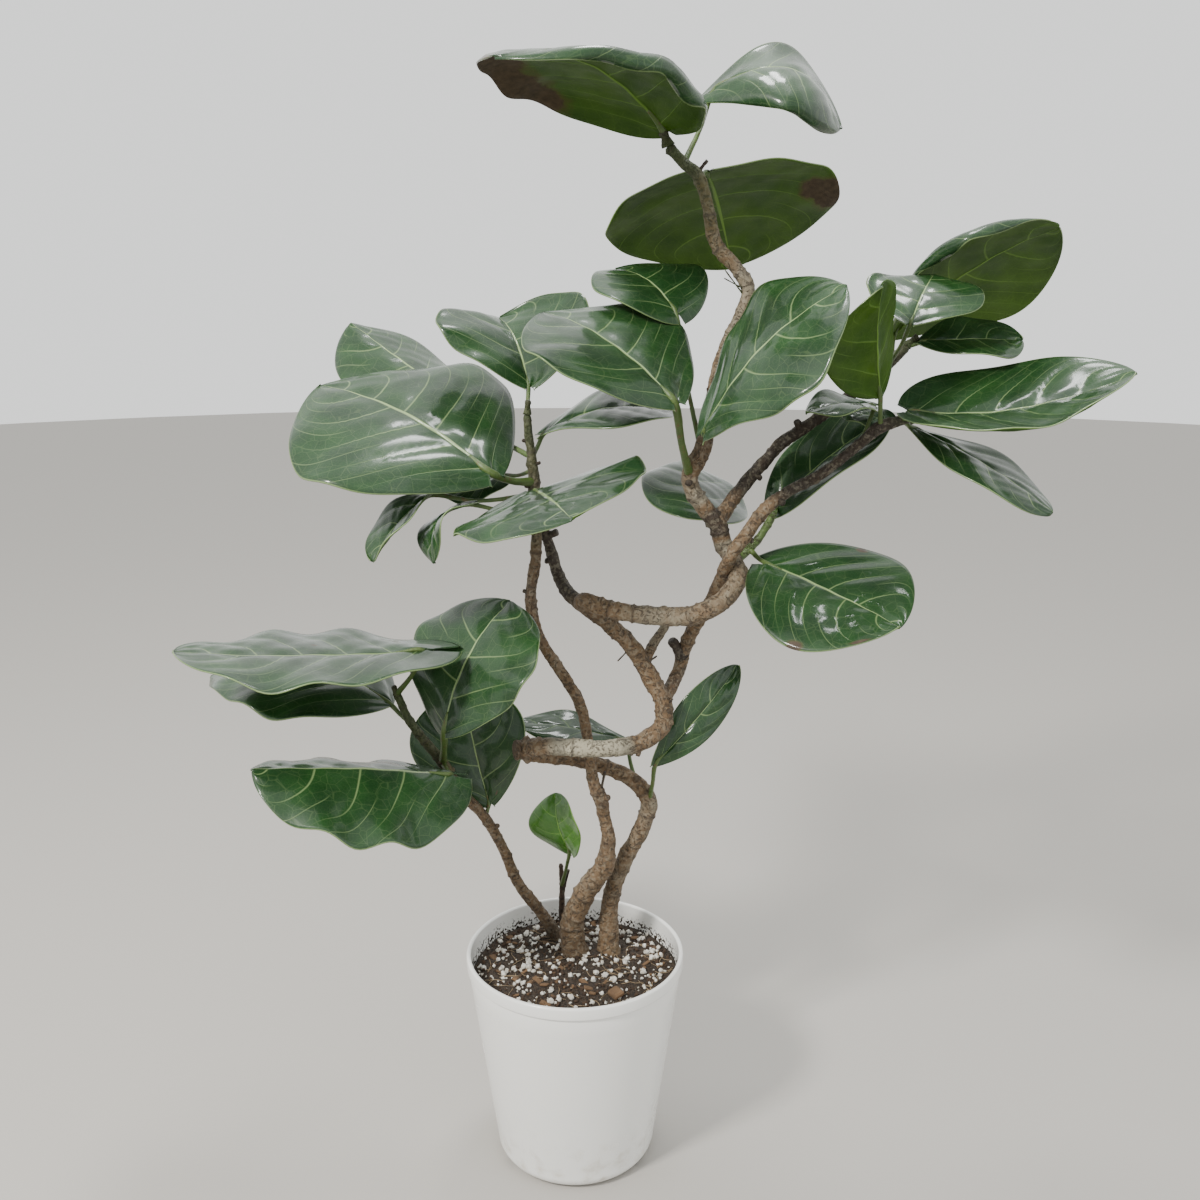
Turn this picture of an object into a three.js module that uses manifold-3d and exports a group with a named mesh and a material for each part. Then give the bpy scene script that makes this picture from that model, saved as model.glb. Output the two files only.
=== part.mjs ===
// Potted sea grape: a small indoor tree with twisted woody stems and large leathery leaves, growing in
// potting mix in a tapered white plastic pot.
// Millimetres, +Z up. The origin is the centre of the pot's foot, on the surface the pot stands on;
// +X is the tree's right and -Y is its front.
import * as THREE from "three";
import { mergeVertices } from "three/addons/utils/BufferGeometryUtils.js";
import Module from "manifold-3d";

const wasm = await Module();
wasm.setup();

// ---- Driving dimensions -------------------------------------------------------------------------

const gap = 0.3; // clearance between pieces that touch

const potHeight = 245;
const rimDiameter = 240; // over the rolled rim
const baseDiameter = 178; // of the wall, just above the rounded bottom corner
const wallThickness = 3;
const rimHeight = 15; // depth of the thicker band at the top
const rimStep = 2; // how far that band stands out from the wall
const cornerRadius = 16; // rounded bottom corner
const footRingDiameter = 148; // outside of the ring the pot stands on
const footRingWidth = 6;
const footHeight = 10; // from the ground up to the underside of the base panel
const footPadDiameter = 36; // pad under the middle of the base panel
const notchCount = 3; // arched drain notches through the foot
const notchWidth = 20;
const notchHeight = 8;
const drainHoleCount = 6;
const drainHoleDiameter = 10;
const drainCircleDiameter = 90;

const soilBelowRim = 25; // edge of the soil, measured down from the rim
const soilMound = 6; // how much higher the soil is in the middle
const deadShootInset = 23.6; // from the pot's inner wall to the dead shoot, at the soil's edge

const treeHeight = 866; // from the soil's edge up to the end of the tallest stem
const stemGirth = 1; // multiplies every stem radius
const leafSize = 1; // multiplies every leaf blade
const bladeThickness = 1.2;
const stalkRadius = 2.2; // leaf stalk, where it leaves the stem
const stalkSag = 0.06; // how far a stalk hangs below a straight line, as a share of its length
const ripple = 3; // how far a leaf's margin waves up and down
const ripplesPerLeaf = 1.5; // waves along each margin
const rippleShift = 1.6; // radians by which the left margin's waves run ahead of the right's
const bluntShare = 0.06; // narrowest width of a blade, at its two ends, as a share of its widest

const potSegments = 36;
const stemSides = 8;
const stalkSides = 5;
const stalkSteps = 4;
const holeSegments = 12;
const bladeColumns = 4; // facets across a leaf
const bladeRows = 7; // facets along it
const curlSteps = 6; // steps in which a half of the blade is bent, from the midrib out

// ---- Materials ----------------------------------------------------------------------------------

const material = (color, roughness) => new THREE.MeshStandardMaterial({ color, roughness, metalness: 0 });
const potPlastic = material(0xf1f2ee, 0.25);
const soilMix = material(0x2b2019, 0.95);
const bark = material(0x8a6a50, 0.85);
const deadWood = material(0x4a3a2e, 0.9);
const greenBark = material(0x5d7a35, 0.6);
const leafSkin = material(0x2c5a2a, 0.35);
const youngLeafSkin = material(0x5c9430, 0.4);

// ---- Solids and meshes --------------------------------------------------------------------------

const parts = new THREE.Group();
const vector = ([x, y, z]) => new THREE.Vector3(x, y, z);
const radians = THREE.MathUtils.degToRad;

// Turns a closed geometry into a solid that can be joined and cut.
function solidOf(geometry) {
  const bare = geometry.clone();
  bare.deleteAttribute("normal");
  bare.deleteAttribute("uv");
  const merged = mergeVertices(bare, 1e-4);
  const corners = merged.index.array;
  const kept = [];
  for (let i = 0; i < corners.length; i += 3) {
    const [a, b, c] = [corners[i], corners[i + 1], corners[i + 2]];
    if (a !== b && b !== c && c !== a) kept.push(a, b, c);
  }
  const vertProperties = new Float32Array(merged.attributes.position.array);
  const triVerts = new Uint32Array(kept);
  return new wasm.Manifold(new wasm.Mesh({ numProp: 3, vertProperties, triVerts }));
}

// Adds a solid to the object as a named mesh.
function addPart(name, solid, look) {
  const { vertProperties, triVerts } = solid.getMesh();
  const geometry = new THREE.BufferGeometry();
  geometry.setAttribute("position", new THREE.BufferAttribute(vertProperties, 3));
  geometry.setIndex(new THREE.BufferAttribute(triVerts, 1));
  geometry.computeVertexNormals();
  const mesh = new THREE.Mesh(geometry, look);
  mesh.name = name;
  parts.add(mesh);
}

function turned(profile, segments = potSegments) {
  return solidOf(new THREE.LatheGeometry(profile.map(([r, z]) => new THREE.Vector2(r, z)), segments)
    .rotateX(Math.PI / 2));
}

// An arc of a turned profile, from one angle to another, in degrees.
function arc(r, z, radius, from, to, steps) {
  return Array.from({ length: steps + 1 }, (_, i) => {
    const angle = radians(from + (to - from) * i / steps);
    return [r + radius * Math.cos(angle), z + radius * Math.sin(angle)];
  });
}

// A closed tube along a smooth route. Each point of the route is [x, y, z, radius].
function tube(route, sides, steps, extra = 0) {
  const path = new THREE.CatmullRomCurve3(route.map(vector));
  const unitCircle = Array.from({ length: sides }, (_, i) => {
    const a = 2 * Math.PI * i / sides;
    return new THREE.Vector2(Math.cos(a), Math.sin(a));
  });
  const geometry = new THREE.ExtrudeGeometry(new THREE.Shape(unitCircle), { extrudePath: path, steps });
  const centres = path.getSpacedPoints(steps);
  const radii = centres.map((_, i) => {
    const along = path.getUtoTmapping(i / steps) * (route.length - 1);
    const before = Math.min(Math.floor(along), route.length - 2);
    return THREE.MathUtils.lerp(route[before][3], route[before + 1][3], along - before) + extra;
  });
  const corner = new THREE.Vector3();
  const position = geometry.attributes.position;
  for (let i = 0; i < position.count; i++) {
    corner.fromBufferAttribute(position, i);
    const distances = centres.map((centre) => centre.distanceToSquared(corner));
    const ring = distances.indexOf(Math.min(...distances));
    corner.sub(centres[ring]).multiplyScalar(radii[ring]).add(centres[ring]);
    position.setXYZ(i, corner.x, corner.y, corner.z);
  }
  return solidOf(geometry);
}

// ---- Pot ----------------------------------------------------------------------------------------

const rimRadius = rimDiameter / 2;
const rimBottom = potHeight - rimHeight;
const bandRadius = rimRadius - rimStep; // the wall, just under the rim band
const baseRadius = baseDiameter / 2;
const panelTop = footHeight + wallThickness;
const rimRoll = (rimStep + wallThickness) / 2;

// The wall's outside and inside radius at a height.
function wallRadius(z) {
  return THREE.MathUtils.mapLinear(z, cornerRadius, rimBottom, baseRadius, bandRadius);
}
const innerRadius = (z) => wallRadius(z) - wallThickness;

function makePot() {
  const footOuter = footRingDiameter / 2;
  const footInner = footOuter - footRingWidth;
  const fillet = cornerRadius / 2; // inside, between the wall and the base panel
  const body = turned([
    [0, 0],
    [footPadDiameter / 2, 0],
    [footPadDiameter / 2, footHeight],
    [footInner, footHeight],
    [footInner, 0],
    [footOuter, 0],
    ...arc(baseRadius - cornerRadius, cornerRadius, cornerRadius, -60, 0, 4),
    [bandRadius, rimBottom],
    [rimRadius, rimBottom + rimStep],
    ...arc(rimRadius - rimRoll, potHeight - rimRoll, rimRoll, 0, 180, 6),
    [innerRadius(rimBottom), rimBottom],
    ...arc(innerRadius(panelTop + fillet) - fillet, panelTop + fillet, fillet, 0, -90, 3),
    [0, panelTop],
  ]);
  let pot = body;
  const arch = new THREE.Shape();
  arch.moveTo(-notchWidth / 2, -1);
  arch.lineTo(notchWidth / 2, -1);
  arch.absellipse(0, 0, notchWidth / 2, notchHeight, 0, Math.PI, false);
  arch.closePath();
  const through = { depth: baseRadius, bevelEnabled: false, curveSegments: 5 };
  for (let i = 0; i < notchCount; i++) {
    const cutter = new THREE.ExtrudeGeometry(arch, through)
      .rotateX(Math.PI / 2)
      .translate(0, -(footPadDiameter + footRingDiameter) / 4, 0)
      .rotateZ(Math.PI / notchCount + 2 * Math.PI * i / notchCount);
    pot = pot.subtract(solidOf(cutter));
  }
  const holeRadius = drainHoleDiameter / 2;
  for (let i = 0; i < drainHoleCount; i++) {
    const cutter = new THREE.CylinderGeometry(holeRadius, holeRadius, footHeight * 2, holeSegments)
      .rotateX(Math.PI / 2)
      .translate(drainCircleDiameter / 2, 0, panelTop)
      .rotateZ(2 * Math.PI * (i + 0.5) / drainHoleCount);
    pot = pot.subtract(solidOf(cutter));
  }
  return pot;
}
addPart("pot", makePot(), potPlastic);

// ---- Soil ---------------------------------------------------------------------------------------

const soilEdge = potHeight - soilBelowRim;

// The soil as it fills the pot, with its top raised by the given amount.
function soilBody(raised = 0) {
  const bottom = panelTop + gap;
  const reach = (z) => innerRadius(z) - gap;
  const chamfer = cornerRadius / 2;
  const top = [1, 0.7, 0.35, 0].map((share) => {
    return [reach(soilEdge) * share, soilEdge + raised + soilMound * (1 - share * share)];
  });
  return turned([
    [0, bottom],
    [reach(bottom) - chamfer, bottom],
    [reach(bottom + chamfer), bottom + chamfer],
    ...top,
  ]);
}
addPart("soil", soilBody(), soilMix);

// ---- Stems --------------------------------------------------------------------------------------

// Routes up from the soil: [x, y, height above the soil's edge, radius]. A stem leaves either the soil or
// the numbered point of another stem.
const stemRoutes = {
  twisted_trunk: [
    [37, 35, -6, 13], [39, 35, 61, 10], [51, 35, 105, 10], [72, 35, 149, 9.5], [82, 35, 185, 9.5],
    [67, 35, 208, 9], [37, 35, 225, 8.5], [1, 30, 238, 8.5], [-35, 12, 250, 9.5], [-50, -10, 264, 10],
    [-30, -30, 276, 9.5], [7, -35, 276, 9], [44, -30, 274, 9.5], [75, -20, 279, 9.5], [94, -10, 294, 9.5],
    [93, -5, 318, 9.5], [80, 0, 342, 9.5], [67, 0, 366, 9], [44, 0, 393, 9], [24, -3, 411, 9],
    [10, -12, 424, 9], [12, -28, 431, 9], [36, -40, 426, 9], [72, -46, 422, 9.5], [117, -50, 422, 10],
    [147, -45, 434, 10], [166, -28, 454, 10], [163, -10, 469, 9.5], [154, 0, 482, 9.5], [145, 0, 506, 9.5],
    [124, 0, 534, 9], [118, 0, 553, 9], [129, 0, 578, 9], [135, 0, 605, 8], [142, 0, 649, 7],
    [150, 0, 678, 7], [166, 0, 714, 7], [171, 0, 736, 7], [159, 0, 755, 7], [139, 0, 778, 6.5],
    [130, 0, 813, 6], [120, 0, 840, 6], [107, 0, 851, 5.5], [92, 0, 866, 5],
  ],
  slender_trunk: [
    [0, 30, -6, 15], [-4, 25, 40, 13], [4, 20, 67, 12.5], [17, 15, 95, 12], [33, 10, 122, 11],
    [37, 10, 150, 8], [32, 10, 180, 7], [29, 5, 200, 8], [20, 5, 225, 6.5], [15, 5, 268, 6],
    [6, 5, 312, 6], [-17, 10, 350, 6], [-35, 10, 380, 6], [-44, 10, 420, 6], [-38, 10, 470, 6],
    [-37, 10, 507, 5.5], [-38, 10, 520, 5.5], [-39, 10, 533, 6], [-39, 10, 546, 6], [-40, 10, 558, 5.5],
    [-41, 10, 571, 5], [-44, 10, 594, 4.5], [-45, 10, 614, 4],
  ],
  left_stem: [
    [-18, 65, -6, 8], [-37, 60, 31, 7], [-64, 55, 73, 6.5], [-85, 45, 132, 6], [-100, 35, 166, 6],
    [-123, 20, 203, 6], [-140, 0, 246, 6], [-157, -5, 271, 5], [-171, -10, 295, 4.5], [-183, -15, 328, 4],
  ],
  dead_shoot: [[-17, 0, -6, 4], [-17, 0, 30, 3.5], [-17, 0, 55, 3], [-18, 0, 82, 2.5]],
  short_stem: [
    [10, -12, 424, 7], [-6, 8, 432, 7], [-17, 24, 449, 6.5], [-24, 28, 473, 6], [-31, 28, 495, 5.5],
    [-36, 32, 515, 5],
  ],
  stub_branch: [[73, 0, 354, 6], [84, 14, 373, 5.5], [94, 18, 388, 5], [100, 20, 400, 4.5]],
  upper_branch: [
    [145, 0, 506, 8], [155, 14, 514, 8], [165, 20, 528, 7.5], [179, 25, 545, 7], [199, 25, 568, 6.5],
    [216, 25, 586, 6.5], [241, 25, 603, 6], [281, 30, 631, 6], [319, 30, 664, 6], [335, 30, 680, 5],
  ],
  lower_branch: [
    [93, -5, 318, 8], [102, 14, 324, 8], [112, 24, 342, 7.5], [117, 25, 363, 7.5], [130, 12, 400, 7.5],
    [142, 0, 425, 7], [151, -12, 451, 7], [158, -32, 478, 7], [174, -32, 503, 7], [192, -27, 525, 7],
    [213, -22, 541, 6], [247, -20, 559, 5.5], [283, -20, 589, 5.5], [302, -20, 605, 6.5], [324, -20, 612, 5],
    [334, -20, 616, 4],
  ],
  green_shoot: [
    [163, -10, 469, 5], [172, -2, 472, 4.5], [180, 0, 479, 4.5], [190, 0, 491, 4], [200, 0, 508, 4],
    [204, -3, 518, 3.5],
  ],
};

// Which stem each side stem grew out of; the rest come out of the soil.
const grewFrom = {
  short_stem: "twisted_trunk",
  stub_branch: "twisted_trunk",
  upper_branch: "twisted_trunk",
  lower_branch: "twisted_trunk",
  green_shoot: "twisted_trunk",
};
const stemLooks = { dead_shoot: deadWood, green_shoot: greenBark };
const stemSteps = { twisted_trunk: 60, slender_trunk: 24, lower_branch: 18, upper_branch: 12, left_stem: 12 };
const fewSteps = 6;

// The routes at this tree's height and girth, standing on the soil of this pot. The dead shoot is the one
// that stands near the pot's wall, so its route is measured from there.
const tallest = Math.max(...Object.values(stemRoutes).flat().map(([, , z]) => z));
const stretch = treeHeight / tallest;
const shift = { dead_shoot: innerRadius(soilEdge) - deadShootInset };
const stems = {};
for (const [name, route] of Object.entries(stemRoutes)) {
  stems[name] = route.map(([x, y, z, radius]) => {
    return [x, y + (shift[name] ?? 0), soilEdge + z * stretch, radius * stemGirth];
  });
}

// A stem as a solid; a sleeve is the same stem fattened and lengthened by the gap, to cut its neighbours.
function stemSolid(name) {
  return tube(stems[name], stemSides, stemSteps[name] ?? fewSteps);
}
function stemSleeve(name) {
  const route = stems[name];
  const [last, before] = [vector(route.at(-1)), vector(route.at(-2))];
  const beyond = last.clone().sub(before).setLength(gap).add(last);
  const longer = [...route.slice(0, -1), [...beyond.toArray(), route.at(-1)[3]]];
  return tube(longer, stemSides, stemSteps[name] ?? fewSteps, gap);
}
const sleeves = {};
const soilSleeve = soilBody(gap);
for (const name of Object.keys(stems)) {
  const neighbour = grewFrom[name] ? sleeves[grewFrom[name]] : soilSleeve;
  addPart(name, stemSolid(name).subtract(neighbour), stemLooks[name] ?? bark);
  sleeves[name] = stemSleeve(name);
}

// ---- Leaves -------------------------------------------------------------------------------------

// One row for each leaf:
//   stem and the number of the point on its route where the stalk leaves it,
//   stalk: from that point to the base of the blade, blade: from its base to its tip,
//   width, and the blade's shape:
//   roll: turn about the midrib, degrees (0 faces the sky, positive lifts the right half),
//   arch: rise of the midrib's middle as a share of its length,
//   fold: how far each half rises from the midrib, degrees,
//   curl: further turn of the left and of the right margin, degrees,
//   belly: above 1 the widest place is nearer the tip, below 1 nearer the base,
//   round: 0.5 is an ellipse, more is pointed,
//   lobe: how far the base lobes reach back past the stalk, as a share of the length.
const leafRows = [
  ["twisted_trunk", 43, [-5, 0, 15], [-145, -155, 40], 215, 5, 0.12, 0, [0, -35], 0.85, 0.55, 0.05],
  ["twisted_trunk", 42, [30, 40, 70], [125, 10, -35], 140, -25, 0.3, -5, [20, -40], 1.3, 0.6, 0.2],
  ["twisted_trunk", 41, [10, 25, 5], [45, 170, -90], 250, 10, 0.1, 5, [-20, 0], 1.3, 0.6, 0.1],
  ["slender_trunk", 20, [-105, 105, 60], [-105, 70, 65], 135, 15, 0, -15, [-30, -5], 0.95, 0.55, 0.1],
  ["slender_trunk", 18, [-40, -40, 15], [-185, 110, 75], 265, 20, 0.08, 0, [-15, -15], 1, 0.7, 0.05],
  ["slender_trunk", 22, [0, 30, 25], [-35, 85, 65], 175, 0, 0.12, 20, [-25, 30], 1.2, 0.6, 0.05],
  ["twisted_trunk", 31, [-20, -60, 80], [-125, 90, 80], 195, 10, 0.08, 0, [0, 10], 1.1, 0.65, 0.05],
  ["twisted_trunk", 32, [-25, 50, 135], [-60, 75, 40], 130, 10, 0.12, 5, [-10, -5], 0.9, 0.6, 0.15],
  ["slender_trunk", 20, [10, 20, 20], [135, 20, 20], 125, -10, 0.12, 5, [-15, -15], 1.4, 0.65, 0.05],
  ["slender_trunk", 15, [0, -30, 35], [40, -125, -5], 195, -20, 0.04, 0, [-5, 5], 0.95, 0.55, 0.1],
  ["slender_trunk", 17, [-100, -30, 5], [-55, -35, -60], 70, 0, 0.08, 10, [25, 0], 1.1, 0.6, 0.05],
  ["slender_trunk", 16, [-60, -40, 10], [-35, -40, -50], 55, -25, 0.26, 5, [0, 5], 1.1, 0.55, 0.1],
  ["slender_trunk", 19, [-30, 30, -10], [-70, 0, -20], 65, 10, 0.02, -10, [-35, -10], 0.85, 0.65, 0.1],
  ["twisted_trunk", 33, [-10, -70, 0], [120, -40, 135], 170, -35, 0.1, -5, [10, -15], 1.4, 0.6, 0.05],
  ["lower_branch", 13, [-5, -15, 30], [-20, -70, 105], 110, -55, 0.04, 15, [10, 5], 1, 0.65, 0],
  ["upper_branch", 8, [20, 75, 25], [140, -70, 105], 190, 25, 0.08, -5, [-20, 0], 1.3, 0.6, 0.05],
  ["upper_branch", 8, [5, -55, 40], [35, 60, 45], 115, -10, 0.08, 0, [-10, -5], 1.2, 0.6, 0.05],
  ["upper_branch", 9, [15, -5, 5], [100, 5, 0], 85, -25, 0.02, 5, [0, -5], 1.4, 0.55, 0.1],
  ["lower_branch", 14, [0, -15, 10], [195, -50, 40], 150, -20, -0.08, 10, [5, -5], 0.85, 0.55, 0.05],
  ["lower_branch", 14, [15, 15, -10], [115, -80, -70], 85, -5, 0.04, -5, [15, -10], 1.3, 0.6, 0.1],
  ["green_shoot", 5, [5, 25, 0], [115, 20, 90], 85, -25, 0.06, 15, [0, -5], 1.1, 0.5, 0.1],
  ["lower_branch", 13, [20, 25, 0], [-50, 15, 10], 40, 25, 0.06, 0, [-10, -5], 1, 0.5, 0.05],
  ["lower_branch", 12, [15, 15, 35], [-70, -20, -5], 65, 10, 0.08, 5, [-10, 0], 1, 0.65, 0.1],
  ["green_shoot", 2, [15, -25, -10], [110, -110, -35], 165, -20, 0.02, 0, [0, -15], 1.1, 0.55, 0.1],
  ["twisted_trunk", 30, [15, 50, -25], [-15, 120, 35], 125, -15, 0.04, -10, [-20, 0], 0.85, 0.5, 0.15],
  ["left_stem", 9, [35, -25, 55], [-235, -55, 15], 185, 0, -0.02, 0, [-5, -5], 0.95, 0.5, 0.15],
  ["left_stem", 8, [-20, 10, 15], [-210, 65, 10], 190, 5, 0.16, -5, [-15, -15], 0.85, 0.7, 0],
  ["left_stem", 6, [10, -50, 55], [65, 60, 120], 175, -5, 0.12, 0, [-5, -5], 1.2, 0.5, 0.05],
  ["left_stem", 4, [5, 5, 15], [-30, 40, 120], 140, 45, 0.06, 15, [0, 10], 1.3, 0.6, 0.05],
  ["left_stem", 6, [15, -45, 5], [-180, -85, 40], 185, 10, 0.02, -20, [-10, -20], 0.9, 0.45, 0.1],
  ["twisted_trunk", 5, [-10, 35, 35], [-125, 5, 20], 55, 10, 0.04, 0, [-20, 25], 1.2, 0.6, 0.05],
  ["twisted_trunk", 4, [5, -35, 60], [90, 45, 95], 50, -70, 0.08, 0, [5, 0], 1.1, 0.65, 0.05],
  ["dead_shoot", 2, [10, -30, 60], [-15, 10, 65], 75, 90, 0.14, 10, [-15, 20], 1.1, 0.6, 0.15],
];
const youngLeaves = [33];
const goldenAngle = 2.4;
const up = new THREE.Vector3(0, 0, 1);

// The surface of one blade: a function from across (-1 left margin, 0 midrib, 1 right margin) and along
// (0 base, 1 tip) to a point. The turn, in radians, shifts the waves of its margin.
function bladeSurface(base, turn, [, , , blade, width, roll, arch, fold, curl, belly, round, lobe]) {
  const reach = vector(blade).multiplyScalar(leafSize);
  const length = reach.length();
  const ahead = reach.clone().normalize();
  const side = ahead.clone().cross(up).normalize();
  const top = side.clone().cross(ahead);
  side.applyAxisAngle(ahead, radians(-roll));
  top.applyAxisAngle(ahead, radians(-roll));
  return (across, along) => {
    const half = width * leafSize / 2 * Math.max(Math.sin(Math.PI * along ** belly) ** round, bluntShare);
    const tangent = ahead.clone().addScaledVector(top, 4 * arch * (1 - 2 * along)).normalize();
    const normal = side.clone().cross(tangent);
    const point = base.clone()
      .addScaledVector(ahead, length * along)
      .addScaledVector(top, 4 * arch * length * along * (1 - along));
    const margin = across < 0 ? curl[0] : curl[1];
    for (let i = 0; i < curlSteps; i++) {
      const out = Math.abs(across) * (i + 0.5) / curlSteps;
      const rise = radians(fold + margin * out * out);
      point.addScaledVector(side, half * across / curlSteps * Math.cos(rise));
      point.addScaledVector(normal, half * Math.abs(across) / curlSteps * Math.sin(rise));
    }
    const phase = 2 * Math.PI * ripplesPerLeaf * along + turn + (across < 0 ? rippleShift : 0);
    point.addScaledVector(normal, ripple * across ** 2 * Math.sin(phase));
    return point.addScaledVector(tangent, -lobe * length * across ** 2 * (1 - along) ** 3);
  };
}

// The blade is a thin box of facets bent onto that surface.
function bladeSolid(surface) {
  const geometry = new THREE.BoxGeometry(2, 1, bladeThickness, bladeColumns, bladeRows, 1);
  const position = geometry.attributes.position;
  const step = 0.01;
  for (let i = 0; i < position.count; i++) {
    const across = position.getX(i);
    const along = (1 - Math.cos(Math.PI * (position.getY(i) + 0.5))) / 2;
    const inside = THREE.MathUtils.clamp(along, step, 1 - step);
    const here = surface(across, inside);
    const acrossWay = surface(across + step, inside).sub(here);
    const alongWay = surface(across, inside + step).sub(here);
    const normal = acrossWay.cross(alongWay).normalize();
    const point = surface(across, along).addScaledVector(normal, position.getZ(i));
    position.setXYZ(i, point.x, point.y, point.z);
  }
  return solidOf(geometry);
}

// A leaf is its blade and its stalk, grown as one piece. It is cut back by the gap from its stem and from the
// stem that one grew out of.
function leafSolid(row, turn) {
  const [stem, number, stalk] = row;
  const start = vector(stems[stem][number]);
  const base = start.clone().add(vector(stalk));
  const surface = bladeSurface(base, turn, row);
  const middle = start.clone().lerp(base, 0.55);
  middle.z -= stalkSag * start.distanceTo(base);
  const route = [start, middle, surface(0, 0.01), surface(0, 0.12)];
  const radii = [1.1, 0.9, 0.9, 0.5].map((share) => share * stalkRadius);
  const points = route.map((point, i) => [...point.toArray(), radii[i]]);
  const leaf = tube(points, stalkSides, stalkSteps).add(bladeSolid(surface)).subtract(sleeves[stem]);
  return grewFrom[stem] ? leaf.subtract(sleeves[grewFrom[stem]]) : leaf;
}

leafRows.forEach((row, i) => {
  const name = "leaf_" + String(i + 1).padStart(2, "0");
  addPart(name, leafSolid(row, goldenAngle * i), youngLeaves.includes(i + 1) ? youngLeafSkin : leafSkin);
});

export default parts;
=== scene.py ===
# %% [markdown]
# # A potted sea grape in Blender
# This small indoor tree has woody stems that twist round each other, 33 large leathery leaves and a plain
# white plastic pot. We build it the way it grew: pot, potting mix, stems, then leaf by leaf.
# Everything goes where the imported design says, so we load that first and keep its box for the last cell.

# %% Load the frame
import math
import random

import bmesh
import bpy
import numpy as np
from mathutils import Matrix, Vector, noise


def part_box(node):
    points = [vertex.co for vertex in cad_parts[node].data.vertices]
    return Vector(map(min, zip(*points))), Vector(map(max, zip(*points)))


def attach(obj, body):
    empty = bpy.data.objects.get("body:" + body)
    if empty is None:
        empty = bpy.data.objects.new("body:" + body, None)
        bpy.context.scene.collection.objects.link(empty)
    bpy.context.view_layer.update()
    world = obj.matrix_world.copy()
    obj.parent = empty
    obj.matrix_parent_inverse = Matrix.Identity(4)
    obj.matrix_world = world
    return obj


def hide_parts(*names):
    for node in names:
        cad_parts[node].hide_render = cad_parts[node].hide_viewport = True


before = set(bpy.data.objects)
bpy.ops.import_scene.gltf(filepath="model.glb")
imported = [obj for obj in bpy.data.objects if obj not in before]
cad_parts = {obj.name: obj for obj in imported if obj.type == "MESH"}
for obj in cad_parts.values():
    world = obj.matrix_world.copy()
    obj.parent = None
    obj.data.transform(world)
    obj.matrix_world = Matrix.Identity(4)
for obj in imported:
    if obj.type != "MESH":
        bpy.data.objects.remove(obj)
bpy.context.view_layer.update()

# %% [markdown]
# ## The camera
# The tree is looked at from a step back, a little from above, so that we see into the pot. A moderately
# long lens keeps the stems from leaning. It is made first.

# %% Make the camera
CAMERA_PLACE = (0.0278, -1.2448, 0.9726)
CAMERA_DIP = 14.75  # degrees below level
LENS = 37.5  # millimetres, as the sensor
SENSOR = 36

camera = bpy.data.objects.new("camera", bpy.data.cameras.new("camera"))
bpy.context.scene.collection.objects.link(camera)
camera.location = CAMERA_PLACE
camera.rotation_euler = (math.radians(90 - CAMERA_DIP), 0, 0)
camera.data.lens = LENS
camera.data.sensor_width = SENSOR
bpy.context.scene.camera = camera
print("camera", CAMERA_PLACE)

# %% [markdown]
# ## A plain studio
# Glossy leaves show what surrounds them. A small key light from the upper left makes the crisp bright
# patches on the leaves, a wide weak one fills in from the right, and a top light picks out the upper
# margins. The floor is matt and a little darker than the pot, so that the white plastic stands out.


# %% Floor, lights and surroundings
AIM = Vector((0, 0, 0.6))
SKY = (0.88, 0.89, 0.88, 1)
SKY_STRENGTH = 1.45
FLOOR_REACH = 8


def area_light(name, place, size, watts, tint=(1, 1, 1)):
    light = bpy.data.lights.new(name, "AREA")
    light.size = size
    light.energy = watts
    light.color = tint
    lamp = bpy.data.objects.new(name, light)
    lamp.location = place
    lamp.rotation_euler = (AIM - Vector(place)).to_track_quat("-Z", "Y").to_euler()
    bpy.context.scene.collection.objects.link(lamp)


area_light("key_light", (-1.5, -1.6, 2.4), 0.4, 105, tint=(1, 0.97, 0.92))
area_light("fill_light", (1.9, -1.4, 1.2), 1.6, 6, tint=(0.92, 0.96, 1))
area_light("top_light", (0.2, 0.6, 2.9), 0.5, 30)

world = bpy.data.worlds.new("studio")
world.use_nodes = True
sky = world.node_tree.nodes["Background"].inputs
sky["Color"].default_value = SKY
sky["Strength"].default_value = SKY_STRENGTH
bpy.context.scene.world = world

floor_mesh = bmesh.new()
bmesh.ops.create_circle(floor_mesh, cap_ends=True, segments=64, radius=FLOOR_REACH)
floor_data = bpy.data.meshes.new("floor")
floor_mesh.to_mesh(floor_data)
floor_mesh.free()
floor = bpy.data.objects.new("floor", floor_data)
bpy.context.scene.collection.objects.link(floor)
print("lights and floor ready")

# %% [markdown]
# ## A small kit for materials
# Every finish here is a node tree on the Principled shader. Writing `tree.links.new` over and over hides
# the idea, so this kit has one method for each kind of node that we use. Each returns the socket it makes.


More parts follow.
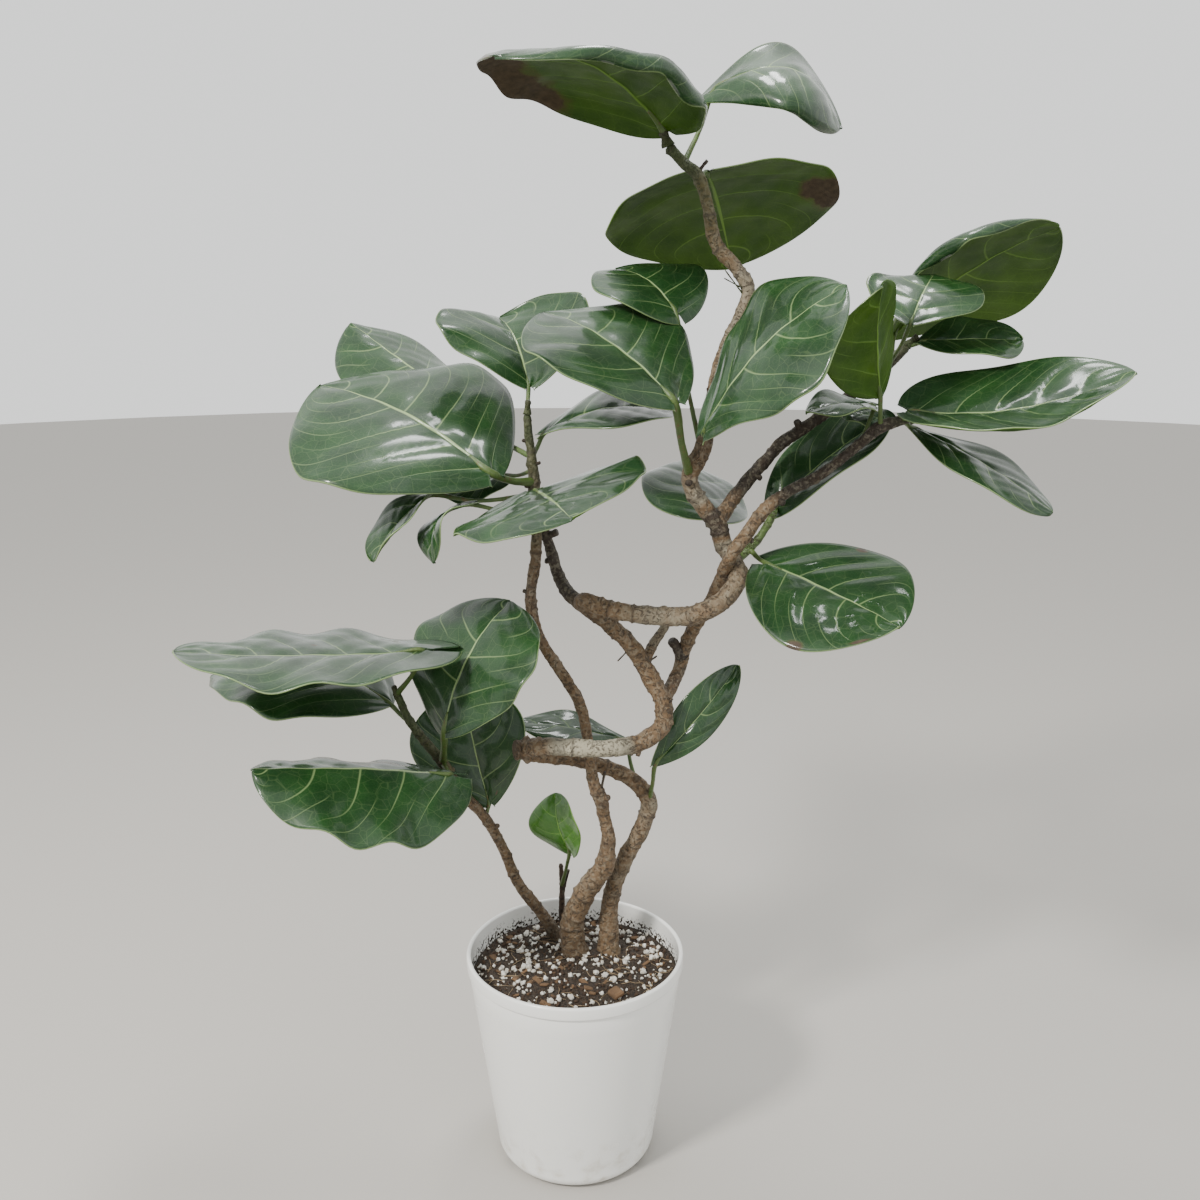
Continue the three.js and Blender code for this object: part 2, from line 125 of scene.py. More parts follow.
# %% Material kit
class Finish:
    """One material being mixed: its methods add a node, wire it up and return its output."""

    def __init__(self, name, color, roughness):
        self.material = bpy.data.materials.new(name)
        self.material.use_nodes = True
        self.tree = self.material.node_tree
        self.shader = self.tree.nodes["Principled BSDF"]
        self.set("Base Color", (*color, 1))
        self.set("Roughness", roughness)
        self.places = self.tree.nodes.new("ShaderNodeTexCoord").outputs["Object"]

    def plug(self, socket, value):
        if isinstance(value, bpy.types.NodeSocket):
            self.tree.links.new(value, socket)
        else:
            socket.default_value = value

    def set(self, name, value):
        self.plug(self.shader.inputs[name], value)

    def math(self, operation, first, second=0.0):
        node = self.tree.nodes.new("ShaderNodeMath")
        node.operation = operation
        self.plug(node.inputs[0], first)
        self.plug(node.inputs[1], second)
        return node.outputs[0]

    def times(self, first, second):
        return self.math("MULTIPLY", first, second)

    def plus(self, first, second):
        return self.math("ADD", first, second)

    def steps(self, value, low, high, to_low=0.0, to_high=1.0):
        """Runs smoothly from to_low, where the value is low, to to_high, where it is high."""
        node = self.tree.nodes.new("ShaderNodeMapRange")
        node.interpolation_type = "SMOOTHSTEP"
        named = {"Value": value, "From Min": low, "From Max": high, "To Min": to_low, "To Max": to_high}
        for name, given in named.items():
            self.plug(node.inputs[name], given)
        return node.outputs[0]

    def attribute(self, name):
        node = self.tree.nodes.new("ShaderNodeAttribute")
        node.attribute_name = name
        return node.outputs["Fac"]

    def noise(self, scale, detail=3.0, distortion=0.0, stretch=None):
        node = self.tree.nodes.new("ShaderNodeTexNoise")
        self.plug(node.inputs["Scale"], scale)
        self.plug(node.inputs["Detail"], detail)
        self.plug(node.inputs["Distortion"], distortion)
        place = self.places
        if stretch:
            mapping = self.tree.nodes.new("ShaderNodeMapping")
            mapping.inputs["Scale"].default_value = stretch
            self.plug(mapping.inputs["Vector"], place)
            place = mapping.outputs[0]
        self.plug(node.inputs["Vector"], place)
        return node.outputs["Fac"]

    def cells(self, scale, feature="DISTANCE_TO_EDGE"):
        node = self.tree.nodes.new("ShaderNodeTexVoronoi")
        node.feature = feature
        self.plug(node.inputs["Scale"], scale)
        self.plug(node.inputs["Vector"], self.places)
        return node.outputs["Distance"]

    def mix(self, share, first, second):
        """A colour between two colours."""
        node = self.tree.nodes.new("ShaderNodeMix")
        node.data_type = "RGBA"
        self.plug(node.inputs["Factor"], share)
        sockets = [socket for socket in node.inputs if socket.type == "RGBA"]
        for socket, color in zip(sockets, (first, second)):
            self.plug(socket, (*color, 1) if isinstance(color, tuple) else color)
        return [socket for socket in node.outputs if socket.type == "RGBA"][0]

    def paint(self, share, first, second):
        """Makes the surface's own colour a mix of two colours."""
        self.set("Base Color", self.mix(share, first, second))

    def bump(self, height, depth, strength=1.0):
        """Small relief, as deep as given in metres."""
        node = self.tree.nodes.new("ShaderNodeBump")
        node.inputs["Strength"].default_value = strength
        node.inputs["Distance"].default_value = depth
        self.plug(node.inputs["Height"], height)
        self.set("Normal", node.outputs[0])


floor_finish = Finish("pale_floor", (0.42, 0.4, 0.37), 0.75)
floor_finish.bump(floor_finish.noise(40), 0.0005, 0.3)
floor.data.materials.append(floor_finish.material)
print("floor finish ready")

# %% [markdown]
# ## A small kit for meshes
# Pieces are made in a bmesh and end as objects at the origin that ride on the one body there is. This
# helper does that last part the same way each time, and a second one says how far a piece is off the design.


# %% Turn a bmesh into a piece
def to_piece(bm, name, node, finishes, smooth=True):
    data = bpy.data.meshes.new(name)
    bm.to_mesh(data)
    bm.free()
    for finish in finishes:
        data.materials.append(finish.material)
    if smooth:
        data.polygons.foreach_set("use_smooth", [True] * len(data.polygons))
    piece = bpy.data.objects.new(name, data)
    bpy.context.scene.collection.objects.link(piece)
    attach(piece, "root")
    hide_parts(node)
    return piece


def off_by(name, node):
    """How far, in millimetres, a piece's box is from the box of the node it stands for."""
    low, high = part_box(node)
    corners = np.array([v.co for v in bpy.data.objects[name].data.vertices])
    apart = [abs(corners.min(0) - np.array(low)).max(), abs(corners.max(0) - np.array(high)).max()]
    return round(1000 * float(max(apart)), 1)


# %% [markdown]
# ## The pot's shape
# The pot is one injection-moulded shell. It is a turned shape, so half of its outline is spun round the
# axis. The outline starts under the middle of the base, goes out over the foot ring, round the bottom
# corner, up the wall to the rolled rim, and down the inside back to the axis.

# %% Pot measures
MM = 0.001
pot_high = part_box("pot")[1]
soil_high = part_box("soil")[1]
rim_radius = pot_high.x
pot_height = pot_high.z
BASE_RADIUS = 89 * MM  # of the wall, just above the rounded bottom corner
WALL = 3 * MM
RIM_HEIGHT = 15 * MM
RIM_STEP = 2 * MM
CORNER = 16 * MM
FOOT_RADIUS = 74 * MM
FOOT_WIDTH = 6 * MM
FOOT_HEIGHT = 10 * MM
FOOT_PAD = 18 * MM
PAD_LIFT = 0.4 * MM  # keeps the middle of the base off the table
EDGE = 0.8 * MM  # softens each hard corner of the outline
GROOVE = 0.7 * MM  # under the rim band
panel_top = FOOT_HEIGHT + WALL
rim_bottom = pot_height - RIM_HEIGHT
band_radius = rim_radius - RIM_STEP
rim_roll = (RIM_STEP + WALL) / 2
fillet = CORNER / 2
foot_inner = FOOT_RADIUS - FOOT_WIDTH
print("pot", round(2 * rim_radius, 3), "m across and", round(pot_height, 3), "m high")


# %% Spin the pot
def wall_radius(z):
    share = (z - CORNER) / (rim_bottom - CORNER)
    return BASE_RADIUS + share * (band_radius - BASE_RADIUS)


def inner_radius(z):
    return wall_radius(z) - WALL


def arc(r, z, radius, start, end, steps):
    angles = [math.radians(start + (end - start) * i / steps) for i in range(steps + 1)]
    return [(r + radius * math.cos(a), z + radius * math.sin(a)) for a in angles]


def spun(outline, steps):
    """A closed shape from an outline of (radius, height) points that starts and ends on the axis."""
    bm = bmesh.new()
    verts = [bm.verts.new((r, 0, z)) for r, z in outline]
    edges = [bm.edges.new(pair) for pair in zip(verts, verts[1:])]
    bmesh.ops.spin(bm, geom=verts + edges, cent=(0, 0, 0), axis=(0, 0, 1), dvec=(0, 0, 0),
                   angle=2 * math.pi, steps=steps, use_merge=True, use_duplicate=False)
    bmesh.ops.remove_doubles(bm, verts=bm.verts, dist=1e-6)
    bmesh.ops.recalc_face_normals(bm, faces=bm.faces)
    return bm


pot_outline = [
    (0, PAD_LIFT),
    (FOOT_PAD - 2 * EDGE, PAD_LIFT),
    *arc(FOOT_PAD - EDGE, EDGE, EDGE, -90, 0, 3),
    *arc(FOOT_PAD + EDGE, FOOT_HEIGHT - EDGE, EDGE, 180, 90, 3),
    *arc(foot_inner - EDGE, FOOT_HEIGHT - EDGE, EDGE, 90, 0, 3),
    *arc(foot_inner + EDGE, EDGE, EDGE, 180, 270, 3),
    *arc(FOOT_RADIUS - EDGE, EDGE, EDGE, -90, 0, 3),
    *arc(BASE_RADIUS - CORNER, CORNER, CORNER, -60, 0, 10),
    *[(wall_radius(z), z) for z in np.linspace(CORNER + 12 * MM, rim_bottom - 3 * MM, 12)],
    (band_radius - GROOVE, rim_bottom - 1.2 * MM),
    (band_radius - GROOVE, rim_bottom + 0.2 * MM),
    *arc(rim_radius - 1.6 * MM, rim_bottom + 2.4 * MM, 1.6 * MM, -80, 0, 5),
    *arc(rim_radius - rim_roll, pot_height - rim_roll, rim_roll, 0, 180, 12),
    (rim_radius - 2 * rim_roll, rim_bottom + 2 * MM),
    *[(inner_radius(z), z) for z in np.linspace(rim_bottom - 2 * MM, panel_top + fillet + 2 * MM, 8)],
    *arc(inner_radius(panel_top + fillet) - fillet, panel_top + fillet, fillet, 0, -90, 6),
    (0, panel_top),
]
pot_bm = spun(pot_outline, 144)
print("pot shell", len(pot_bm.faces), "faces")

# %% [markdown]
# ## Drain notches and drain holes
# Water has to get out from under the foot ring, through three low arches, and out of the pot through six
# holes. Cutting is what the Boolean modifier is for. It is applied at once, so the pot ends as plain mesh.

# %% Cut the notches and holes
NOTCHES = 3
NOTCH_WIDTH = 20 * MM
NOTCH_HEIGHT = 8 * MM
HOLES = 6
HOLE_RADIUS = 5 * MM
HOLE_CIRCLE = 45 * MM
CUTTER_SHIFT = 7 * MM  # outwards, so that a notch goes right through the foot ring

cutter_bm = bmesh.new()
lying = Matrix.Rotation(math.pi / 2, 4, "X")
oval = Matrix.Diagonal((NOTCH_WIDTH / 2, NOTCH_HEIGHT, 1, 1))
middle = (FOOT_PAD + BASE_RADIUS) / 2 + CUTTER_SHIFT
for i in range(NOTCHES):
    turn = Matrix.Rotation(math.pi / NOTCHES + 2 * math.pi * i / NOTCHES, 4, "Z")
    place = turn @ Matrix.Translation((0, -middle, 0)) @ lying @ oval
    bmesh.ops.create_cone(cutter_bm, cap_ends=True, segments=40, radius1=1, radius2=1,
                          depth=BASE_RADIUS - FOOT_PAD, matrix=place)
for i in range(HOLES):
    around = 2 * math.pi * (i + 0.5) / HOLES
    place = Matrix.Translation((HOLE_CIRCLE * math.cos(around), HOLE_CIRCLE * math.sin(around), panel_top))
    bmesh.ops.create_cone(cutter_bm, cap_ends=True, segments=28, radius1=HOLE_RADIUS, radius2=HOLE_RADIUS,
                          depth=2 * FOOT_HEIGHT, matrix=place)


def cut(bm, tool):
    """Cuts one bmesh out of another and gives back the result as a new bmesh."""
    holders = []
    for name, part in (("work", bm), ("tool", tool)):
        data = bpy.data.meshes.new(name)
        part.to_mesh(data)
        part.free()
        holder = bpy.data.objects.new(name, data)
        bpy.context.scene.collection.objects.link(holder)
        holders.append(holder)
    work, knife = holders
    modifier = work.modifiers.new("cut", "BOOLEAN")
    modifier.operation = "DIFFERENCE"
    modifier.solver = "EXACT"
    modifier.object = knife
    shown = work.evaluated_get(bpy.context.evaluated_depsgraph_get())
    result = bmesh.new()
    result.from_mesh(shown.to_mesh())
    shown.to_mesh_clear()
    for holder in holders:
        data = holder.data
        bpy.data.objects.remove(holder)
        bpy.data.meshes.remove(data)
    return result


pot_bm = cut(pot_bm, cutter_bm)
print("pot with notches", len(pot_bm.faces), "faces")

# %% [markdown]
# ## White plastic
# Moulded polypropylene is nearly white, smooth and a little waxy. What keeps it from looking painted is
# small: a faint waviness from the mould, dust low down on the wall, fine scuffs, and splashes of potting mix
# inside the rim where water has hit it.

# %% Pot plastic finish
WHITE = (0.8, 0.8, 0.77)
DUST_TOP = 90 * MM
SPLASHES_FROM = 215 * MM
SPLASHES_THIN_OUT = 222 * MM
SPLASHES_END = 243 * MM
BLUR = 0.3 * MM  # each way from the middle of the wall, which parts its inside from its outside

plastic = Finish("pot_plastic", WHITE, 0.22)
parts = plastic.tree.nodes.new("ShaderNodeSeparateXYZ")
plastic.plug(parts.inputs[0], plastic.places)
up = parts.outputs["Z"]
squares = [plastic.times(parts.outputs[way], parts.outputs[way]) for way in "XY"]
from_axis = plastic.math("SQRT", plastic.plus(*squares))
dust = plastic.times(plastic.steps(up, DUST_TOP, 0), plastic.steps(plastic.noise(60, 6), 0.45, 0.8))
scuff = plastic.steps(plastic.noise(14, 8, 1.5, (1, 1, 5)), 0.69, 0.74)
specks = plastic.steps(plastic.cells(330, "F1"), 0.13, 0.06)
grime = plastic.times(specks, plastic.steps(plastic.noise(22, 4), 0.6, 0.75))

wall_slope = wall_radius(1) - wall_radius(0)
mid_wall = wall_radius(0) - WALL / 2
leaning = plastic.math("SUBTRACT", from_axis, plastic.times(up, wall_slope))
inside_wall = plastic.steps(leaning, mid_wall + BLUR, mid_wall - BLUR)
thinning = plastic.steps(up, SPLASHES_END, SPLASHES_THIN_OUT)
over_soil = plastic.times(thinning, plastic.math("GREATER_THAN", up, SPLASHES_FROM))
splashed = plastic.times(inside_wall, over_soil)
drops = plastic.steps(plastic.plus(plastic.noise(330, 4), plastic.times(splashed, 0.22)), 0.72, 0.76)

tone = plastic.mix(dust, WHITE, (0.52, 0.48, 0.4))
tone = plastic.mix(plastic.times(drops, splashed), tone, (0.03, 0.02, 0.012))
tone = plastic.mix(plastic.times(scuff, 0.35), tone, (0.55, 0.55, 0.52))
plastic.paint(plastic.times(grime, 0.6), tone, (0.2, 0.15, 0.1))
gloss = plastic.steps(plastic.noise(9, 4), 0.3, 0.8, 0.17, 0.3)
worn = plastic.plus(plastic.times(scuff, 0.2), plastic.times(dust, 0.3))
plastic.set("Roughness", plastic.plus(gloss, worn))
plastic.set("IOR", 1.49)
plastic.set("Coat Weight", 0.25)
plastic.set("Coat Roughness", 0.08)
plastic.bump(plastic.noise(26, 2), 0.0006, 0.25)
pot = to_piece(pot_bm, "white_pot", "pot", [plastic])
pot.data.set_sharp_from_angle(angle=math.radians(50))
print("pot", off_by("white_pot", "pot"), "mm off the design")

# %% [markdown]
# ## Potting mix
# The mix is bark fines and peat with white perlite, and it is uneven at every scale. One turned body gives
# its bulk and its top gets dense rings of faces that noise pushes up and down. Loose grains lie on that,
# because a bump in the finish alone would stay flat at the outline of each grain.

# %% Soil body
SOIL_MOUND = 6 * MM
SOIL_SUNK = 1.5 * MM  # keeps the highest lumps inside the design
GAP = 0.3 * MM
soil_edge = soil_high.z - SOIL_MOUND
soil_bottom = panel_top + GAP
soil_reach = inner_radius(soil_edge) - GAP
rings = np.linspace(1, 0, 56)


def lumps(x, y):
    """How far the top of the soil stands up from its smooth mound."""
    coarse = noise.noise(Vector((x, y, 0.3)) * 42) * 2.6 * MM
    fine = noise.fractal(Vector((x, y, 1.7)) * 170, 1.0, 2.0, 3) * 1.3 * MM
    return coarse + fine


def soil_top(x, y):
    share = min(math.hypot(x, y) / soil_reach, 1)
    return soil_edge + SOIL_MOUND * (1 - share**2) + lumps(x, y) - SOIL_SUNK


soil_outline = [
    (0, soil_bottom),
    (inner_radius(soil_bottom) - GAP - fillet, soil_bottom),
    (inner_radius(soil_bottom + fillet) - GAP, soil_bottom + fillet),
    *[(inner_radius(z) - GAP, z) for z in np.linspace(60 * MM, soil_edge - 4 * MM, 5)],
    *[(soil_reach * share, soil_edge + SOIL_MOUND * (1 - share**2)) for share in rings],
]
soil_bm = spun(soil_outline, 150)
for vert in soil_bm.verts:
    if vert.co.z > soil_edge - 1 * MM:
        vert.co.z = soil_top(vert.co.x, vert.co.y)
print("soil", len(soil_bm.faces), "faces")

# %% Soil finish
mix_dark = Finish("potting_mix", (0.03, 0.02, 0.013), 0.95)
crumb = mix_dark.cells(420)
crumb_tone = mix_dark.cells(380, "F1")
tone = mix_dark.mix(mix_dark.noise(240, 6), (0.004, 0.003, 0.002), (0.034, 0.023, 0.015))
tone = mix_dark.mix(mix_dark.steps(crumb_tone, 0.34, 0.62, 0, 0.7), tone, (0.06, 0.04, 0.025))
pale_specks = mix_dark.steps(mix_dark.noise(900, 2), 0.7, 0.78)
mix_dark.paint(pale_specks, tone, (0.5, 0.48, 0.42))
mix_dark.set("Roughness", mix_dark.steps(mix_dark.noise(60, 3), 0.3, 0.7, 0.75, 1))
mix_dark.bump(mix_dark.plus(crumb, mix_dark.noise(500, 5)), 0.0022)
to_piece(soil_bm, "potting_mix", "soil", [mix_dark])
print("soil", off_by("potting_mix", "soil"), "mm off the design")

# %% [markdown]
# ## Perlite, crumbs, bark chips and fibres
# Four kinds of loose bits lie on the soil. There are hundreds of them, so each has few faces and all of a
# kind share one mesh. A grain starts as an icosphere and a chip as a box. Both are squashed and turned by
# chance, from one fixed seed, and pressed a little into the surface. The fibres are thin tubes and come last.

# %% Scatter loose bits
PERLITE_GRAINS = 520
CRUMBS = 900
RESTING = 0.18  # how high the middle of a grain lies over the soil, as a share of its size
chance = random.Random(7)


def spot_on_soil():
    """A random place on the soil, in metres from the axis, spread evenly over its area."""
    around = chance.uniform(0, 2 * math.pi)
    out = (soil_reach - 3 * MM) * math.sqrt(chance.uniform(0, 1))
    return out * math.cos(around), out * math.sin(around)


def turned_any_way():
    angle = chance.uniform(0, 6.28)
    axis = Vector((chance.uniform(-1, 1), chance.uniform(-1, 1), 1))
    return Matrix.Rotation(angle, 4, axis)


def scatter_grains(count, smallest, largest, detail, rough):
    bm = bmesh.new()
    for _ in range(count):
        size = smallest + (largest - smallest) * chance.random() ** 2
        x, y = spot_on_soil()
        shape = [size / 2 * chance.uniform(0.7, 1.15) for _ in range(3)]
        place = Matrix.Translation((x, y, soil_top(x, y) + size * RESTING))
        made = bmesh.ops.create_icosphere(bm, subdivisions=detail, radius=1)["verts"]
        for vert in made:
            vert.co *= 1 + rough * noise.noise(vert.co * 1.7 + Vector((x, y, 0)) * 900)
        bmesh.ops.transform(bm, matrix=place @ turned_any_way() @ Matrix.Diagonal((*shape, 1)), verts=made)
    return bm


perlite = Finish("perlite", (0.78, 0.77, 0.72), 0.9)
perlite.paint(perlite.steps(perlite.noise(300, 4), 0.35, 0.7), (0.46, 0.43, 0.36), (0.8, 0.79, 0.75))
perlite.bump(perlite.noise(900, 3), 0.0006)
crumbs = Finish("bark_crumbs", (0.05, 0.03, 0.02), 0.9)
crumbs.paint(crumbs.noise(70, 2), (0.008, 0.005, 0.003), (0.085, 0.048, 0.026))
crumbs.bump(crumbs.noise(700, 3), 0.0008)
perlite_bm = scatter_grains(PERLITE_GRAINS, 1.8 * MM, 7.5 * MM, 2, 0.9)
to_piece(perlite_bm, "perlite_grains", "soil", [perlite])
crumbs_bm = scatter_grains(CRUMBS, 1.5 * MM, 6 * MM, 1, 0.6)
to_piece(crumbs_bm, "bark_crumbs", "soil", [crumbs], smooth=False)
print("perlite and crumbs scattered")

# %% Bark chips
CHIPS = 70
chip_finish = Finish("bark_chips", (0.3, 0.15, 0.07), 0.85)
chip_finish.paint(chip_finish.noise(55, 3), (0.02, 0.012, 0.007), (0.22, 0.125, 0.06))
chip_finish.bump(chip_finish.noise(420, 4, 0, (1, 1, 3)), 0.0009)
chips_bm = bmesh.new()


def turned(least, most, axis):
    return Matrix.Rotation(chance.uniform(least, most), 4, axis)


def add_chip(x, y, length, width, depth, lift):
    made = bmesh.ops.create_cube(chips_bm, size=1)["verts"]
    tilt = turned(-0.4, 0.4, "X") @ turned(-0.4, 0.4, "Y")
    place = Matrix.Translation((x, y, soil_top(x, y) + lift)) @ turned(0, 3.14, "Z")
    flat = Matrix.Diagonal((length, width, depth, 1))
    bmesh.ops.transform(chips_bm, matrix=place @ tilt @ flat, verts=made)
    edges = list({e for v in made for e in v.link_edges})
    bmesh.ops.bevel(chips_bm, geom=edges, offset=depth * 0.3, affect="EDGES", segments=1,
                    profile=0.5, material=-1)


for _ in range(CHIPS):
    x, y = spot_on_soil()
    length = chance.uniform(4, 11) * MM
    add_chip(x, y, length, length * chance.uniform(0.35, 0.7), chance.uniform(1.2, 2.8) * MM, 0.6 * MM)
add_chip(0.045, -0.058, 17 * MM, 13 * MM, 6 * MM, 2.5 * MM)
add_chip(-0.03, -0.075, 12 * MM, 7 * MM, 3 * MM, 1 * MM)
for vert in chips_bm.verts:
    vert.co += Vector((0.5, 0.5, 0.4)) * noise.noise(vert.co * 210) * 1.4 * MM
to_piece(chips_bm, "bark_chips", "soil", [chip_finish], smooth=False)
print("bark chips laid")

# %% [markdown]
# ## Tubes along a line
# Stems, leaf stalks and root fibres are all tubes that follow a line. A grid is made with one column for each
# side and one row for each step, rolled round the line and its seam merged. Rolling keeps the rows, so
# rings and ridges can be added row by row. The line itself runs smoothly through a few chosen points.


# %% Smooth lines
CURVE_STEPS = 24  # between two chosen points, before the line is divided evenly


def smooth_line(points, spacing):
    """Even steps along a curve through the points; columns after x, y and z follow as they are."""
    points = np.array(points, float)
    padded = np.vstack([2 * points[0] - points[1], points, 2 * points[-1] - points[-2]])
    share = np.linspace(0, 1, CURVE_STEPS, endpoint=False)[:, None]
    stretches = []
    for before, start, end, after in zip(padded, padded[1:], padded[2:], padded[3:]):
        first, middle, last = [math.sqrt(max(np.linalg.norm((b - a)[:3]), 1e-9))
                               for a, b in ((before, start), (start, end), (end, after))]
        leave = ((start - before) / first - (end - before) / (first + middle)) * middle + end - start
        reach = end - start + ((after - end) / last - (after - start) / (middle + last)) * middle
        turn_in = 2 * start - 2 * end + leave + reach
        turn_out = 3 * end - 3 * start - 2 * leave - reach
        stretches.append(start + leave * share + turn_out * share**2 + turn_in * share**3)
    line = np.vstack([*stretches, points[-1:]])
    travelled = np.concatenate([[0], np.cumsum(np.linalg.norm(np.diff(line[:, :3], axis=0), axis=1))])
    even = np.linspace(0, travelled[-1], max(round(travelled[-1] / spacing), 2) + 1)
    return np.column_stack([np.interp(even, travelled, column) for column in line.T]), even


print("smooth lines ready")


# %% Rolled tubes
def unit(rows):
    return rows / np.maximum(np.linalg.norm(rows, axis=-1, keepdims=True), 1e-12)


def side_ways(centres):
    """Two directions across a line at each of its points, carried along without twisting."""
    ahead = unit(np.gradient(centres, axis=0))
    start = np.array([1.0, 0, 0]) if abs(ahead[0][0]) < 0.8 else np.array([0, 1.0, 0])
    first = [unit(start - ahead[0] * (start @ ahead[0]))]
    for way in ahead[1:]:
        carried = first[-1] - way * (first[-1] @ way)
        first.append(unit(carried))
    first = np.array(first)
    return first, np.cross(ahead, first)


def rolled_tube(bm, line, sides, relief=None, material=0):
    """Rolls a grid round a line of (x, y, z, radius) rows, closes its ends and returns its rows of verts.
    relief(point, row) gives how far to push a point out, in metres."""
    ends = [line[0], *line, line[-1]]
    line = np.array(ends)
    line[0][3] = line[-1][3] = 0
    first, second = side_ways(line[1:-1, :3])
    first = np.vstack([first[:1], first, first[-1:]])
    second = np.vstack([second[:1], second, second[-1:]])
    last_row = len(line) - 1
    made = bmesh.ops.create_grid(bm, x_segments=sides, y_segments=last_row, size=1)["verts"]
    rows = [[] for _ in line]
    for vert in made:
        around = math.pi * (vert.co.x + 1)
        row = round((vert.co.y + 1) / 2 * last_row)
        out = Vector(first[row] * math.cos(around) + second[row] * math.sin(around))
        centre = Vector(line[row][:3])
        radius = line[row][3]
        vert.co = centre + out * radius
        if relief and radius:
            vert.co += out * relief(vert.co, min(max(row - 1, 0), last_row - 2))
        rows[row].append(vert)
    faces = {face for vert in made for face in vert.link_faces}
    for face in faces:
        face.material_index = material
    bmesh.ops.remove_doubles(bm, verts=made, dist=1e-7)
    bmesh.ops.recalc_face_normals(bm, faces=[face for face in faces if face.is_valid])
    return [[vert for vert in row if vert.is_valid] for row in rows]


print("tube tools ready")

# %% Root fibres
FIBRES = 120
FIBRE_STEPS = 6
FIBRE_STEP = 5 * MM
fibre_finish = Finish("root_fibres", (0.3, 0.2, 0.11), 0.8)
fibre_finish.paint(fibre_finish.noise(60, 2), (0.09, 0.052, 0.028), (0.4, 0.31, 0.19))
fibres_bm = bmesh.new()
for _ in range(FIBRES):
    x, y = spot_on_soil()
    heading = chance.uniform(0, 2 * math.pi)
    fibre = []
    for _ in range(FIBRE_STEPS):
        heading += chance.uniform(-0.7, 0.7)
        x += FIBRE_STEP * math.cos(heading)
        y += FIBRE_STEP * math.sin(heading)
        if math.hypot(x, y) < soil_reach - 2 * MM:
            lift = chance.uniform(0.3, 1.8) * MM
            fibre.append((x, y, soil_top(x, y) + lift, chance.uniform(0.25, 0.5) * MM))
    if len(fibre) > 2:
        rolled_tube(fibres_bm, smooth_line(fibre, 3 * MM)[0], 4)
to_piece(fibres_bm, "root_fibres", "soil", [fibre_finish])
print("fibres laid")

# %% [markdown]
# ## Where the stems run
# Each row is one chosen point of a stem: x, y, height above the edge of the soil, and radius, all in
# millimetres. A stem grows out of the soil or out of another stem. The twisted trunk doubles back on itself
# twice, which is what gives this tree its character.

